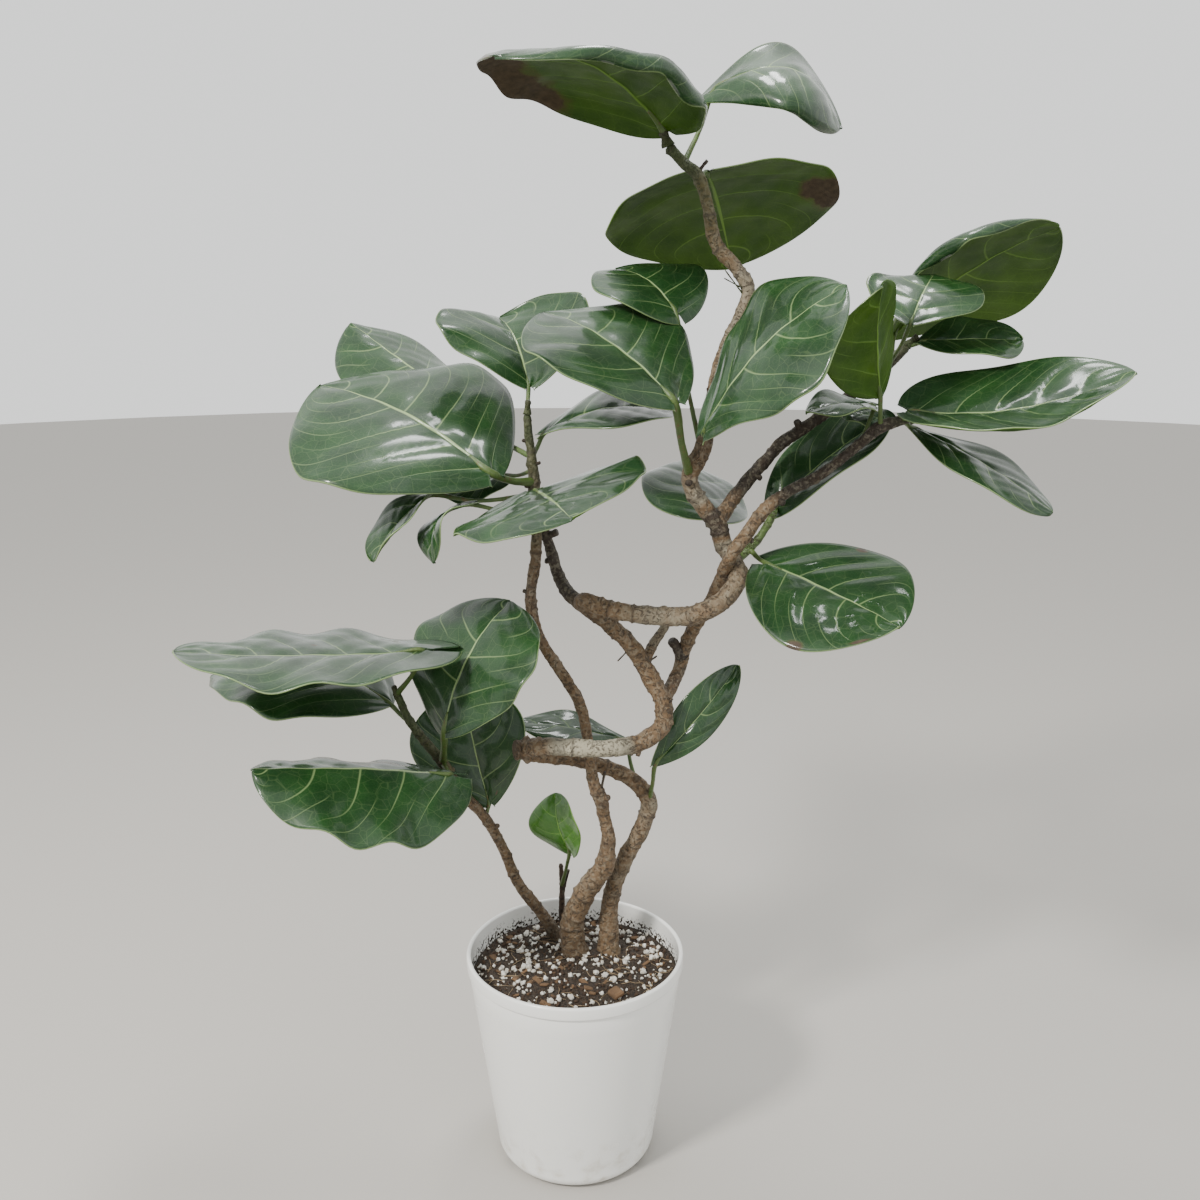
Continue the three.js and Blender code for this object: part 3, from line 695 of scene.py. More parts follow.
# %% Stem routes
stem_routes = {
    "twisted_trunk": [
        [37, 35, -6, 13], [39, 35, 61, 10], [51, 35, 105, 10], [72, 35, 149, 9.5], [82, 35, 185, 9.5],
        [67, 35, 208, 9], [37, 35, 225, 8.5], [1, 30, 238, 8.5], [-35, 12, 250, 9.5], [-50, -10, 264, 10],
        [-30, -30, 276, 9.5], [7, -35, 276, 9], [44, -30, 274, 9.5], [75, -20, 279, 9.5], [94, -10, 294, 9.5],
        [93, -5, 318, 9.5], [80, 0, 342, 9.5], [67, 0, 366, 9], [44, 0, 393, 9], [24, -3, 411, 9],
        [10, -12, 424, 9], [12, -28, 431, 9], [36, -40, 426, 9], [72, -46, 422, 9.5], [117, -50, 422, 10],
        [147, -45, 434, 10], [166, -28, 454, 10], [163, -10, 469, 9.5], [154, 0, 482, 9.5],
        [145, 0, 506, 9.5], [124, 0, 534, 9], [118, 0, 553, 9], [129, 0, 578, 9], [135, 0, 605, 8],
        [142, 0, 649, 7], [150, 0, 678, 7], [166, 0, 714, 7], [171, 0, 736, 7], [159, 0, 755, 7],
        [139, 0, 778, 6.5], [130, 0, 813, 6], [120, 0, 840, 6], [107, 0, 851, 5.5], [92, 0, 866, 5],
    ],
    "slender_trunk": [
        [0, 30, -6, 15], [-4, 25, 40, 13], [4, 20, 67, 12.5], [17, 15, 95, 12], [33, 10, 122, 11],
        [37, 10, 150, 8], [32, 10, 180, 7], [29, 5, 200, 8], [20, 5, 225, 6.5], [15, 5, 268, 6],
        [6, 5, 312, 6], [-17, 10, 350, 6], [-35, 10, 380, 6], [-44, 10, 420, 6], [-38, 10, 470, 6],
        [-37, 10, 507, 5.5], [-38, 10, 520, 5.5], [-39, 10, 533, 6], [-39, 10, 546, 6], [-40, 10, 558, 5.5],
        [-41, 10, 571, 5], [-44, 10, 594, 4.5], [-45, 10, 614, 4],
    ],
    "left_stem": [
        [-18, 65, -6, 8], [-37, 60, 31, 7], [-64, 55, 73, 6.5], [-85, 45, 132, 6], [-100, 35, 166, 6],
        [-123, 20, 203, 6], [-140, 0, 246, 6], [-157, -5, 271, 5], [-171, -10, 295, 4.5], [-183, -15, 328, 4],
    ],
    "dead_shoot": [[-17, 0, -6, 4], [-17, 0, 30, 3.5], [-17, 0, 55, 3], [-18, 0, 82, 2.5]],
    "short_stem": [
        [10, -12, 424, 7], [-6, 8, 432, 7], [-17, 24, 449, 6.5], [-24, 28, 473, 6], [-31, 28, 495, 5.5],
        [-36, 32, 515, 5],
    ],
    "stub_branch": [[73, 0, 354, 6], [84, 14, 373, 5.5], [94, 18, 388, 5], [100, 20, 400, 4.5]],
    "upper_branch": [
        [145, 0, 506, 8], [155, 14, 514, 8], [165, 20, 528, 7.5], [179, 25, 545, 7], [199, 25, 568, 6.5],
        [216, 25, 586, 6.5], [241, 25, 603, 6], [281, 30, 631, 6], [319, 30, 664, 6], [335, 30, 680, 5],
    ],
    "lower_branch": [
        [93, -5, 318, 8], [102, 14, 324, 8], [112, 24, 342, 7.5], [117, 25, 363, 7.5], [130, 12, 400, 7.5],
        [142, 0, 425, 7], [151, -12, 451, 7], [158, -32, 478, 7], [174, -32, 503, 7], [192, -27, 525, 7],
        [213, -22, 541, 6], [247, -20, 559, 5.5], [283, -20, 589, 5.5], [302, -20, 605, 6.5],
        [324, -20, 612, 5], [334, -20, 616, 4],
    ],
    "green_shoot": [
        [163, -10, 469, 5], [172, -2, 472, 4.5], [180, 0, 479, 4.5], [190, 0, 491, 4], [200, 0, 508, 4],
        [204, -3, 518, 3.5],
    ],
}
DEAD_SHOOT_INSET = 23.6 * MM  # this one's route is measured from the pot's inner wall
stems = {}
for name, route in stem_routes.items():
    back = inner_radius(soil_edge) - DEAD_SHOOT_INSET if name == "dead_shoot" else 0
    stems[name] = [(x * MM, y * MM + back, soil_edge + z * MM, radius * MM) for x, y, z, radius in route]
print(len(stems), "stems")

# %% [markdown]
# ## Bark
# The bark is thin and finely cracked, and each old leaf scar leaves a raised ring right round the stem. The
# rings are real relief, made row by row, and a vertex attribute called ring tells the finish where they are.
# Two more attributes follow the stem: age runs from nearly black young wood over brown to pale grey wood that
# has been rubbed smooth, and green says where the skin still holds leaf green.


# %% Bark finish
def bark_finish(name, pale, warm, dark, roughness=0.72):
    finish = Finish(name, warm, roughness)
    ring = finish.attribute("ring")
    age = finish.plus(finish.attribute("age"), finish.times(finish.noise(26, 6, 0.8), 0.5))
    flecks = finish.steps(finish.noise(230, 8, 0.6), 0.46, 0.62)
    fissures = finish.steps(finish.noise(130, 9, 2.2), 0.5, 0.66)
    tone = finish.mix(finish.steps(age, 0.3, 0.62), dark, warm)
    tone = finish.mix(finish.steps(age, 0.72, 1.1), tone, pale)
    tone = finish.mix(finish.steps(age, 1.2, 1.5, 0, 0.8), tone, tuple(2 * c for c in pale))
    tone = finish.mix(finish.times(flecks, 0.3), tone, tuple(1.5 * c for c in pale))
    tone = finish.mix(finish.times(fissures, 0.7), tone, dark)
    tone = finish.mix(finish.times(finish.attribute("green"), 0.85), tone, (0.035, 0.06, 0.014))
    finish.paint(finish.times(ring, 0.7), tone, dark)
    finish.set("Roughness", finish.steps(finish.noise(90, 3), 0.3, 0.7, roughness - 0.15, roughness + 0.15))
    height = finish.plus(finish.noise(340, 7, 0.5), finish.times(fissures, -0.7))
    finish.bump(height, 0.0013)
    return finish


wood_bark = bark_finish("wood_bark", (0.19, 0.172, 0.125), (0.135, 0.084, 0.042), (0.03, 0.02, 0.012))
green_bark = bark_finish("green_bark", (0.1, 0.16, 0.04), (0.05, 0.085, 0.018), (0.03, 0.026, 0.01), 0.5)
dead_wood = bark_finish("dead_wood", (0.09, 0.06, 0.04), (0.05, 0.03, 0.018), (0.012, 0.008, 0.005), 0.85)
print("bark finishes ready")

# %% [markdown]
# ## Growing a stem
# Real stems swell at every leaf scar and are never quite round. So the radius gets rings at uneven steps,
# long soft lumps and short fine ones. A stem that grew out of another starts inside it, with a wide collar.

# %% The bark of each stem
stem_looks = {
    # stem: finish, sides of the tube, usual distance between leaf scars in millimetres
    "twisted_trunk": (wood_bark, 20, 30),
    "slender_trunk": (wood_bark, 20, 22),
    "left_stem": (wood_bark, 16, 20),
    "dead_shoot": (dead_wood, 12, 9),
    "short_stem": (wood_bark, 16, 11),
    "stub_branch": (wood_bark, 14, 14),
    "upper_branch": (wood_bark, 16, 20),
    "lower_branch": (wood_bark, 16, 22),
    "green_shoot": (green_bark, 14, 14),
}
# how old the bark looks at some points of each stem: {point number: age}, from 0 (dark) to 1 (pale)
stem_ages = {
    "twisted_trunk": {0: 0.45, 1: 0.5, 2: 0.62, 4: 0.62, 5: 0.4, 7: 0.35, 9: 0.4, 10: 0.4, 10.7: 1.2, 12: 1.3,
                      12.6: 0.5, 14: 0.4, 17: 0.35, 19: 0.3, 21: 0.42, 22: 0.5, 23: 0.68, 25: 0.55, 26: 0.66,
                      28.2: 0.7, 28.6: 0.1, 29.3: 0.1, 29.7: 0.7, 31: 0.6, 31.6: 0.4, 33: 0.2, 34: 0.5,
                      36: 0.7, 38: 0.6, 40: 0.3, 43: 0.1},
    "slender_trunk": {0: 0.25, 1: 0.3, 3: 0.55, 5: 0.25, 6: 0.45, 7: 0.2, 8: 0.35, 11: 0.55, 13: 0.25,
                      16: 0.2, 22: 0.1},
    "left_stem": {0: 0.25, 2: 0.35, 5: 0.25, 9: 0.15},
    "dead_shoot": {0: 0.5},
    "short_stem": {0: 0.3, 1: 0, 5: 0.1},
    "stub_branch": {0: 0.3, 1: 0.75, 3: 0.7},
    "upper_branch": {0: 0.2, 1: 0.5, 2: 0.2, 3: 0, 9: 0},
    "lower_branch": {0: 0.35, 2: 0.25, 3: 0.5, 5: 0.35, 8: 0.5, 9: 0.35, 10: 0.05, 15: 0},
    "green_shoot": {0: 0.6},
}
# how green it is, in the same way; stems that aren't here have no green
green_places = {
    "twisted_trunk": {38: 0, 40: 0.5, 42: 0.8, 43: 1},
    "slender_trunk": {14: 0, 15: 0.6, 18: 0.3, 22: 0.8},
    "left_stem": {5: 0, 6: 0.6, 9: 1},
    "lower_branch": {13: 0, 15: 0.7},
    "upper_branch": {7: 0, 9: 0.6},
}
GROWN_FROM_STEM = ("short_stem", "stub_branch", "upper_branch", "lower_branch", "green_shoot")
print("bark chosen for", len(stem_looks), "stems")

# %% Grow the stems
BARK_LAYERS = ("ring", "age", "green")
RING_WIDTH = 1.5 * MM
STEP = 1.6 * MM


def new_layers(bm, names):
    """Makes a number for each vert to carry under each name; a finish reads it as an attribute."""
    return {name: bm.verts.layers.float.new(name) for name in names}


def ring_profile(lengths, spacing):
    """A ridge of height 1 at each leaf scar along a stem, for each of the given lengths."""
    ridges = np.zeros(len(lengths))
    at = spacing * chance.uniform(0.4, 1)
    while at < lengths[-1]:
        strong = chance.uniform(0.2, 1) ** 1.5
        ridges = np.maximum(ridges, strong * np.exp(-(((lengths - at) / RING_WIDTH) ** 2)))
        at += spacing * chance.uniform(0.45, 1.5)
    return ridges


def grow_stem(name):
    finish, sides, spacing = stem_looks[name]
    numbers = np.arange(len(stems[name]))
    line, lengths = smooth_line(np.column_stack([stems[name], numbers]), STEP)
    ages = np.interp(line[:, 4], list(stem_ages[name]), list(stem_ages[name].values()))
    green = green_places.get(name, {0: 0})
    greens = np.interp(line[:, 4], list(green), list(green.values()))
    rings = ring_profile(lengths, spacing * MM)
    radii = line[:, 3] * (0.97 + 0.16 * rings)
    flare, reach = (0.35, 9 * MM) if name in GROWN_FROM_STEM else (0.3, 12 * MM)
    radii *= 1 + flare * np.exp(-((lengths / reach) ** 2))
    radii[-2:] *= (0.94, 0.8)
    line = np.column_stack([line[:, :3], radii])

    def relief(point, row):
        lump = noise.noise(point * 75) * 0.15 * radii[row]
        knob = max(noise.noise(point * 150 + Vector((3, 1, 2))) - 0.35, 0) * 0.55 * radii[row]
        return lump + knob + noise.noise(point * 380) * 0.5 * MM

    bm = bmesh.new()
    layers = new_layers(bm, BARK_LAYERS)
    for row, verts in enumerate(rolled_tube(bm, line, sides, relief)):
        here = min(max(row - 1, 0), len(rings) - 1)
        for vert in verts:
            for layer, values in zip(layers.values(), (rings, ages, greens)):
                vert[layer] = values[here]
    to_piece(bm, name + "_bark", name, [finish])
    print(name, round(lengths[-1], 3), "m long,", off_by(name + "_bark", name), "mm off the design")


for name in stems:
    grow_stem(name)

# %% [markdown]
# ## Stumps, buds and dead twigs
# Where a leaf or a side shoot has dropped, a stump stays behind, and every stem ends in a bud. They are short
# tubes with a swollen foot and a blunt end, and they go where the tree has them: the first is the sawn-off
# heel on the trunk's lower bend.

# %% Stump rows
BLACKISH, BROWN, GREEN = (0.0, 0), (0.4, 0), (0.3, 1)  # age and green of the bark
stump_rows = {
    # stem: (point number, direction and length in millimetres, radius, bark)
    "twisted_trunk": [
        (9.1, (-14, -5, 1), 10.5, BROWN), (12.9, (-5, -8, -14), 2.5, BROWN),
        (14.6, (10, -8, 14), 1, BLACKISH), (16.5, (13, -8, 13), 1, BLACKISH),
        (17.3, (-14, -10, -12), 0.8, BLACKISH), (17.0, (2, -11, 2), 3, BROWN),
        (30.7, (-4, -12, 1), 3.6, BLACKISH), (5.1, (5, -12, 8), 4, BROWN),
        (36.6, (-22, -14, 26), 0.7, GREEN), (36.9, (-24, -12, 12), 0.6, GREEN),
        (41.1, (10, -4, 12), 1.8, BLACKISH), (43, (-5, 0, 13), 4.6, GREEN),
    ],
    "slender_trunk": [
        (7.2, (6, -5, 30), 1.5, BLACKISH), (7.1, (9, -8, 4), 3.5, BROWN), (13.2, (-9, -3, 3), 2, BLACKISH),
        (16.4, (9, -4, 2), 2, BLACKISH), (17.5, (-9, -4, 3), 2, BLACKISH), (19.4, (8, -4, 3), 1.8, BLACKISH),
        (22, (1, 0, 14), 3, GREEN), (20.6, (-7, -3, 4), 1.8, BLACKISH),
    ],
    "left_stem": [(3.6, (9, -6, 5), 3, BROWN), (6.1, (3, -8, 2), 4, BROWN), (9, (-3, -1, 9), 3, GREEN)],
    "dead_shoot": [(1.5, (8, -4, 34), 1.9, BLACKISH)],
    "short_stem": [(3.6, (12, -4, 5), 4, BLACKISH), (2.4, (-9, -4, 3), 3, BLACKISH)],
    "upper_branch": [
        (5.6, (-5, -6, 10), 4, BLACKISH), (3.3, (7, -6, -4), 3, BLACKISH), (9, (10, 0, 10), 3.4, GREEN),
    ],
    "lower_branch": [
        (2.7, (-12, -8, 20), 5.5, BLACKISH), (9.6, (3, -9, -3), 3.5, BLACKISH),
        (12.6, (4, -8, 2), 3, BLACKISH), (14.6, (22, -8, 5), 5, GREEN),
    ],
    "green_shoot": [(2.4, (-8, -6, 14), 2, BLACKISH)],
}


print(sum(map(len, stump_rows.values())), "stumps and twigs")

# %% Add the stumps
SWELLING = ((0, 1.5), (0.35, 1.15), (0.6, 0.9), (0.85, 1.05), (1, 0.85))  # share of the way, of the radius


def add_stump(bm, layers, stem, row):
    at_point, way, radius, (age, green) = row
    numbers = range(len(stems[stem]))
    start = np.array([np.interp(at_point, numbers, column) for column in np.array(stems[stem]).T[:3]])
    points = [[*(start + np.array(way) * MM * share), radius * MM * swell] for share, swell in SWELLING]
    line, _ = smooth_line(points, 1.5 * MM)
    rows = rolled_tube(bm, line, 10, lambda place, _: noise.noise(place * 330) * 0.2 * radius * MM)
    for i, verts in enumerate(rows):
        for vert in verts:
            for layer, value in zip(layers.values(), (i / len(rows), age, green)):
                vert[layer] = value


for stem, rows in stump_rows.items():
    stumps_bm = bmesh.new()
    stump_layers = new_layers(stumps_bm, BARK_LAYERS)
    for row in rows:
        add_stump(stumps_bm, stump_layers, stem, row)
    to_piece(stumps_bm, stem + "_stumps", stem, [wood_bark])
print("stumps on", len(stump_rows), "stems")

# %% [markdown]
# ## The leaves
# Each row describes one leaf: the stem and the number of the point on it where the stalk leaves, the stalk,
# the blade from base to tip and its width in millimetres, then its shape. Roll turns the blade about its
# midrib, arch bends the midrib, fold lifts both halves, and curl turns the left and right margin further.
# Belly moves the widest place, round sets how blunt the ends are, and lobe how far the base reaches back.

# %% Leaf rows
leaf_rows = [
    ["twisted_trunk", 43, [-5, 0, 15], [-145, -155, 40], 215, 5, 0.12, 0, [0, -35], 0.85, 0.55, 0.05],
    ["twisted_trunk", 42, [30, 40, 70], [125, 10, -35], 140, -25, 0.3, -5, [20, -40], 1.3, 0.6, 0.2],
    ["twisted_trunk", 41, [10, 25, 5], [45, 170, -90], 250, 10, 0.1, 5, [-20, 0], 1.3, 0.6, 0.1],
    ["slender_trunk", 20, [-105, 105, 60], [-105, 70, 65], 135, 15, 0, -15, [-30, -5], 0.95, 0.55, 0.1],
    ["slender_trunk", 18, [-40, -40, 15], [-185, 110, 75], 265, 20, 0.08, 0, [-15, -15], 1, 0.7, 0.05],
    ["slender_trunk", 22, [0, 30, 25], [-35, 85, 65], 175, 0, 0.12, 20, [-25, 30], 1.2, 0.6, 0.05],
    ["twisted_trunk", 31, [-20, -60, 80], [-125, 90, 80], 195, 10, 0.08, 0, [0, 10], 1.1, 0.65, 0.05],
    ["twisted_trunk", 32, [-25, 50, 135], [-60, 75, 40], 130, 10, 0.12, 5, [-10, -5], 0.9, 0.6, 0.15],
    ["slender_trunk", 20, [10, 20, 20], [135, 20, 20], 125, -10, 0.12, 5, [-15, -15], 1.4, 0.65, 0.05],
    ["slender_trunk", 15, [0, -30, 35], [40, -125, -5], 195, -20, 0.04, 0, [-5, 5], 0.95, 0.55, 0.1],
    ["slender_trunk", 17, [-100, -30, 5], [-55, -35, -60], 70, 0, 0.08, 10, [25, 0], 1.1, 0.6, 0.05],
    ["slender_trunk", 16, [-60, -40, 10], [-35, -40, -50], 55, -25, 0.26, 5, [0, 5], 1.1, 0.55, 0.1],
    ["slender_trunk", 19, [-30, 30, -10], [-70, 0, -20], 65, 10, 0.02, -10, [-35, -10], 0.85, 0.65, 0.1],
    ["twisted_trunk", 33, [-10, -70, 0], [120, -40, 135], 170, -35, 0.1, -5, [10, -15], 1.4, 0.6, 0.05],
    ["lower_branch", 13, [-5, -15, 30], [-20, -70, 105], 110, -55, 0.04, 15, [10, 5], 1, 0.65, 0],
    ["upper_branch", 8, [20, 75, 25], [140, -70, 105], 190, 25, 0.08, -5, [-20, 0], 1.3, 0.6, 0.05],
    ["upper_branch", 8, [5, -55, 40], [35, 60, 45], 115, -10, 0.08, 0, [-10, -5], 1.2, 0.6, 0.05],
    ["upper_branch", 9, [15, -5, 5], [100, 5, 0], 85, -25, 0.02, 5, [0, -5], 1.4, 0.55, 0.1],
    ["lower_branch", 14, [0, -15, 10], [195, -50, 40], 150, -20, -0.08, 10, [5, -5], 0.85, 0.55, 0.05],
    ["lower_branch", 14, [15, 15, -10], [115, -80, -70], 85, -5, 0.04, -5, [15, -10], 1.3, 0.6, 0.1],
    ["green_shoot", 5, [5, 25, 0], [115, 20, 90], 85, -25, 0.06, 15, [0, -5], 1.1, 0.5, 0.1],
    ["lower_branch", 13, [20, 25, 0], [-50, 15, 10], 40, 25, 0.06, 0, [-10, -5], 1, 0.5, 0.05],
    ["lower_branch", 12, [15, 15, 35], [-70, -20, -5], 65, 10, 0.08, 5, [-10, 0], 1, 0.65, 0.1],
    ["green_shoot", 2, [15, -25, -10], [110, -110, -35], 165, -20, 0.02, 0, [0, -15], 1.1, 0.55, 0.1],
    ["twisted_trunk", 30, [15, 50, -25], [-15, 120, 35], 125, -15, 0.04, -10, [-20, 0], 0.85, 0.5, 0.15],
    ["left_stem", 9, [35, -25, 55], [-235, -55, 15], 185, 0, -0.02, 0, [-5, -5], 0.95, 0.5, 0.15],
    ["left_stem", 8, [-20, 10, 15], [-210, 65, 10], 190, 5, 0.16, -5, [-15, -15], 0.85, 0.7, 0],
    ["left_stem", 6, [10, -50, 55], [65, 60, 120], 175, -5, 0.12, 0, [-5, -5], 1.2, 0.5, 0.05],
    ["left_stem", 4, [5, 5, 15], [-30, 40, 120], 140, 45, 0.06, 15, [0, 10], 1.3, 0.6, 0.05],
    ["left_stem", 6, [15, -45, 5], [-180, -85, 40], 185, 10, 0.02, -20, [-10, -20], 0.9, 0.45, 0.1],
    ["twisted_trunk", 5, [-10, 35, 35], [-125, 5, 20], 55, 10, 0.04, 0, [-20, 25], 1.2, 0.6, 0.05],
    ["twisted_trunk", 4, [5, -35, 60], [90, 45, 95], 50, -70, 0.08, 0, [5, 0], 1.1, 0.65, 0.05],
    ["dead_shoot", 2, [10, -30, 60], [-15, 10, 65], 75, 90, 0.14, 10, [-15, 20], 1.1, 0.6, 0.15],
]
YOUNG_LEAF = 33
print(len(leaf_rows), "leaves")

# %% [markdown]
# ## The surface of one leaf
# A leaf is a flat sheet that has been bent, so its surface is a function: given how far across (-1 to 1) and
# how far along (0 to 1) a place is, it gives the point in space. Going out from the midrib in small steps
# lets a margin curl, or roll right over near its edge. Margins also wave up and down a little.

# %% Blade surface
RIPPLE = 3 * MM
RIPPLES_PER_LEAF = 1.5
GOLDEN_ANGLE = 2.4
WAVE_SHIFT = 1.6  # so that the two margins don't wave together
STEPS_OUT = 12
ROLL_STARTS = 0.8  # share of the way out to the margin
BASE_SHARE = 0.06  # least half width at the base and at the tip, as shares of the greatest
TIP_SHARE = 0.01


def blade_surface(base, turn, row, extra_ripple=0.0, rolled=(0, 0)):
    blade, width, roll, arch, fold, curl, belly, round_ends, lobe = row[3:]
    reach = np.array(blade) * MM
    length = np.linalg.norm(reach)
    ahead = reach / length
    side = unit(np.cross(ahead, (0, 0, 1)))
    top = np.cross(side, ahead)
    tilt = math.radians(roll)
    side, top = (side * math.cos(tilt) + top * math.sin(tilt), top * math.cos(tilt) - side * math.sin(tilt))

    def at(across, along):
        least = BASE_SHARE * (1 - along) + TIP_SHARE
        blunt = np.maximum(np.sin(np.pi * np.clip(along, 0, 1) ** belly), 0) ** round_ends
        half = width * MM / 2 * np.maximum(blunt, least)
        tangent = unit(ahead + top * (4 * arch * (1 - 2 * along))[:, None])
        normal = np.cross(side, tangent)
        rise = 4 * arch * length * along * (1 - along)
        point = base + ahead * (length * along)[:, None] + top * rise[:, None]
        bend = np.where(across < 0, curl[0], curl[1])
        roll_over = np.where(across < 0, rolled[0], rolled[1]) * np.sin(np.pi * np.clip(along, 0, 1)) ** 0.5
        for i in range(STEPS_OUT):
            out = np.abs(across) * (i + 0.5) / STEPS_OUT
            late = np.clip((out - ROLL_STARTS) / (1 - ROLL_STARTS), 0, 1)
            uneven = 1 + 0.3 * np.sin(19 * along + turn)
            angle = np.radians(fold + bend * out * out + roll_over * late * uneven)
            point = point + side * (half * across / STEPS_OUT * np.cos(angle))[:, None]
            point = point + normal * (half * np.abs(across) / STEPS_OUT * np.sin(angle))[:, None]
        phase = 2 * np.pi * RIPPLES_PER_LEAF * along + turn + np.where(across < 0, WAVE_SHIFT, 0)
        wave = RIPPLE * np.sin(phase) + extra_ripple * MM * np.sin(2.1 * phase + 1) * np.sin(np.pi * along)
        point = point + normal * (across**2 * wave)[:, None]
        return point - tangent * (lobe * length * across**2 * (1 - along) ** 3)[:, None]

    return at, length, width * MM


print("blade surface ready")

# %% [markdown]
# ## Where the veins run
# Side veins leave the midrib every 40 mm or so and sweep towards the tip. Rather than draw them, we number
# the leaf: a coordinate that is a whole number on every side vein and in between elsewhere. The mesh uses
# it to puff up the skin between veins. The finish reads the same numbers, from a vertex attribute, and
# colours the veins.

# %% Vein numbers
VEIN_SPACING = 41 * MM
VEIN_LEAN = 0.1  # how far a side vein runs towards the tip on its way to the margin
VEIN_SWEEP = 0.24
FIRST_VEIN = 0.03  # share of the way from base to tip
VEINED = 0.9  # share of the leaf's length that has side veins
STAGGER = 0.4  # how far the veins on the right start past those on the left


def vein_numbers(across, along, length, turn):
    out = np.abs(across)
    pairs = max(round(VEINED * length / VEIN_SPACING), 3)
    wobble = 0.16 * np.sin(3.1 * across + 5 * along + turn) + 0.1 * np.sin(9 * along - 4 * across + 2 * turn)
    stagger = np.where(across < 0, 0.0, STAGGER)
    swept = along - FIRST_VEIN - VEIN_LEAN * out - VEIN_SWEEP * out**2
    return swept * pairs / VEINED + stagger + wobble * out


def quilting(numbers, across, along):
    """1 in the middle of a puffed-up field between veins, 0 on a vein and at the edge of the blade."""
    between = np.abs(np.sin(np.pi * np.maximum(numbers, 0.0))) ** 0.7
    near_middle = 1 - np.exp(-((across / 0.12) ** 2))
    return between * near_middle * (1 - np.abs(across) ** 3) * np.clip(6 * (1 - along), 0, 1)


print("vein numbers ready")

# %% [markdown]
# ## Leaf finishes
# The upper skin is dark, blue-green and waxy, so it mirrors the studio in patches. The underside is
# yellower and matt, with veins that stand up. Both have a pale midrib, thinner side veins and a net of fine
# veins. A thin pale line along the margin is a painted highlight, where the edge of the blade catches the
# light. Scorched places dry out brown: an attribute says where they are and noise frays their edge. The small
# young leaf is a brighter green.


# %% Vein pattern
def vein_pattern(finish):
    """How strongly a place is coloured as a vein, the glow beside veins, and how far out the place is."""
    numbers = finish.attribute("vein")
    along = finish.attribute("along")
    out = finish.math("ABSOLUTE", finish.attribute("across"))
    off_vein = finish.math("ABSOLUTE", finish.math("SUBTRACT", numbers, finish.math("ROUND", numbers)))
    width = finish.plus(finish.times(out, -0.009), 0.018)
    side_vein = finish.steps(off_vein, finish.times(width, 2.2), finish.times(width, 0.3))
    real = finish.math("GREATER_THAN", numbers, -0.5)
    side_vein = finish.times(side_vein, real)
    side_vein = finish.times(side_vein, finish.steps(out, 0.95, 0.3, 0.1, 0.54))
    half_off = finish.math("ABSOLUTE", finish.math("SUBTRACT", finish.math("FRACT", numbers), 0.5))
    branch = finish.times(finish.steps(half_off, 0.022, 0.006), finish.steps(out, 0.35, 0.6, 0, 0.32))
    branch = finish.times(branch, finish.math("GREATER_THAN", numbers, 0))
    rib_width = finish.times(finish.steps(along, 0, 1, 1, 0.25), 0.03)
    midrib = finish.steps(out, rib_width, finish.times(rib_width, 0.45))
    net = finish.steps(finish.cells(75), 0.03, 0.01, 0, 0.1)
    fine_net = finish.steps(finish.cells(300), 0.06, 0.015, 0, 0.05)
    veins = midrib
    for more in (side_vein, branch, net, fine_net):
        veins = finish.math("MAXIMUM", veins, more)
    return veins, finish.times(finish.steps(off_vein, 0.3, 0.0), finish.times(real, 0.12)), out


print("vein pattern ready")


# %% Leaf finishes
def leaf_finish(name, deep, fresh, vein, roughness):
    underside = name.endswith("underside")
    finish = Finish(name, deep, roughness)
    veins, glow, out = vein_pattern(finish)
    mottle = finish.steps(finish.noise(22, 4), 0.3, 0.7)
    tone = finish.mix(mottle, deep, fresh)
    tone = finish.mix(glow, tone, tuple(1.9 * c for c in fresh))
    tone = finish.mix(finish.times(veins, 0.85 if underside else 0.95), tone, vein)
    # painted highlight: a thin pale line along the margin, where the edge of the blade catches the light
    tone = finish.mix(finish.steps(out, 0.985, 0.998, 0, 0.7), tone, vein)
    frayed = finish.plus(finish.attribute("scorch"), finish.times(finish.noise(90, 6), 0.5))
    scorch = finish.steps(frayed, 0.7, 0.8)
    tone = finish.mix(finish.steps(frayed, 0.52, 0.74, 0, 0.7), tone, (0.06, 0.05, 0.012))
    dead = finish.mix(finish.noise(160, 4), (0.016, 0.011, 0.006), (0.1, 0.07, 0.042))
    finish.paint(scorch, tone, dead)
    wax = finish.steps(finish.noise(45, 4), 0.3, 0.75, roughness - 0.08, roughness + 0.1)
    finish.set("Roughness", finish.plus(wax, finish.times(scorch, 0.3)))
    relief = finish.times(veins, 1.0 if underside else -1.0)
    pores = finish.times(finish.noise(620, 3), 0.25)
    finish.bump(finish.plus(relief, pores), 0.0006, 0.8)
    finish.set("IOR", 1.36)
    if not underside:
        finish.set("Coat Weight", 0.8)
        finish.set("Coat Roughness", 0.13)
        finish.set("Coat IOR", 1.34)
    return finish


leaf_looks = {
    # skin: deep, fresh and vein colour, then roughness
    "leaf_top": ((0.0045, 0.026, 0.0055), (0.011, 0.047, 0.009), (0.23, 0.32, 0.13), 0.46),
    "leaf_underside": ((0.017, 0.052, 0.001), (0.036, 0.085, 0.002), (0.13, 0.24, 0.035), 0.55),
    "young_leaf_top": ((0.022, 0.09, 0.004), (0.04, 0.14, 0.008), (0.2, 0.36, 0.07), 0.4),
    "young_leaf_underside": ((0.04, 0.12, 0.006), (0.07, 0.18, 0.01), (0.22, 0.36, 0.08), 0.5),
}
skins = {name: leaf_finish(name, *look) for name, look in leaf_looks.items()}
stalk_finish = Finish("leaf_stalk", (0.12, 0.2, 0.05), 0.45)
stalk_tone = stalk_finish.mix(stalk_finish.noise(70, 5), (0.03, 0.07, 0.012), (0.1, 0.14, 0.035))
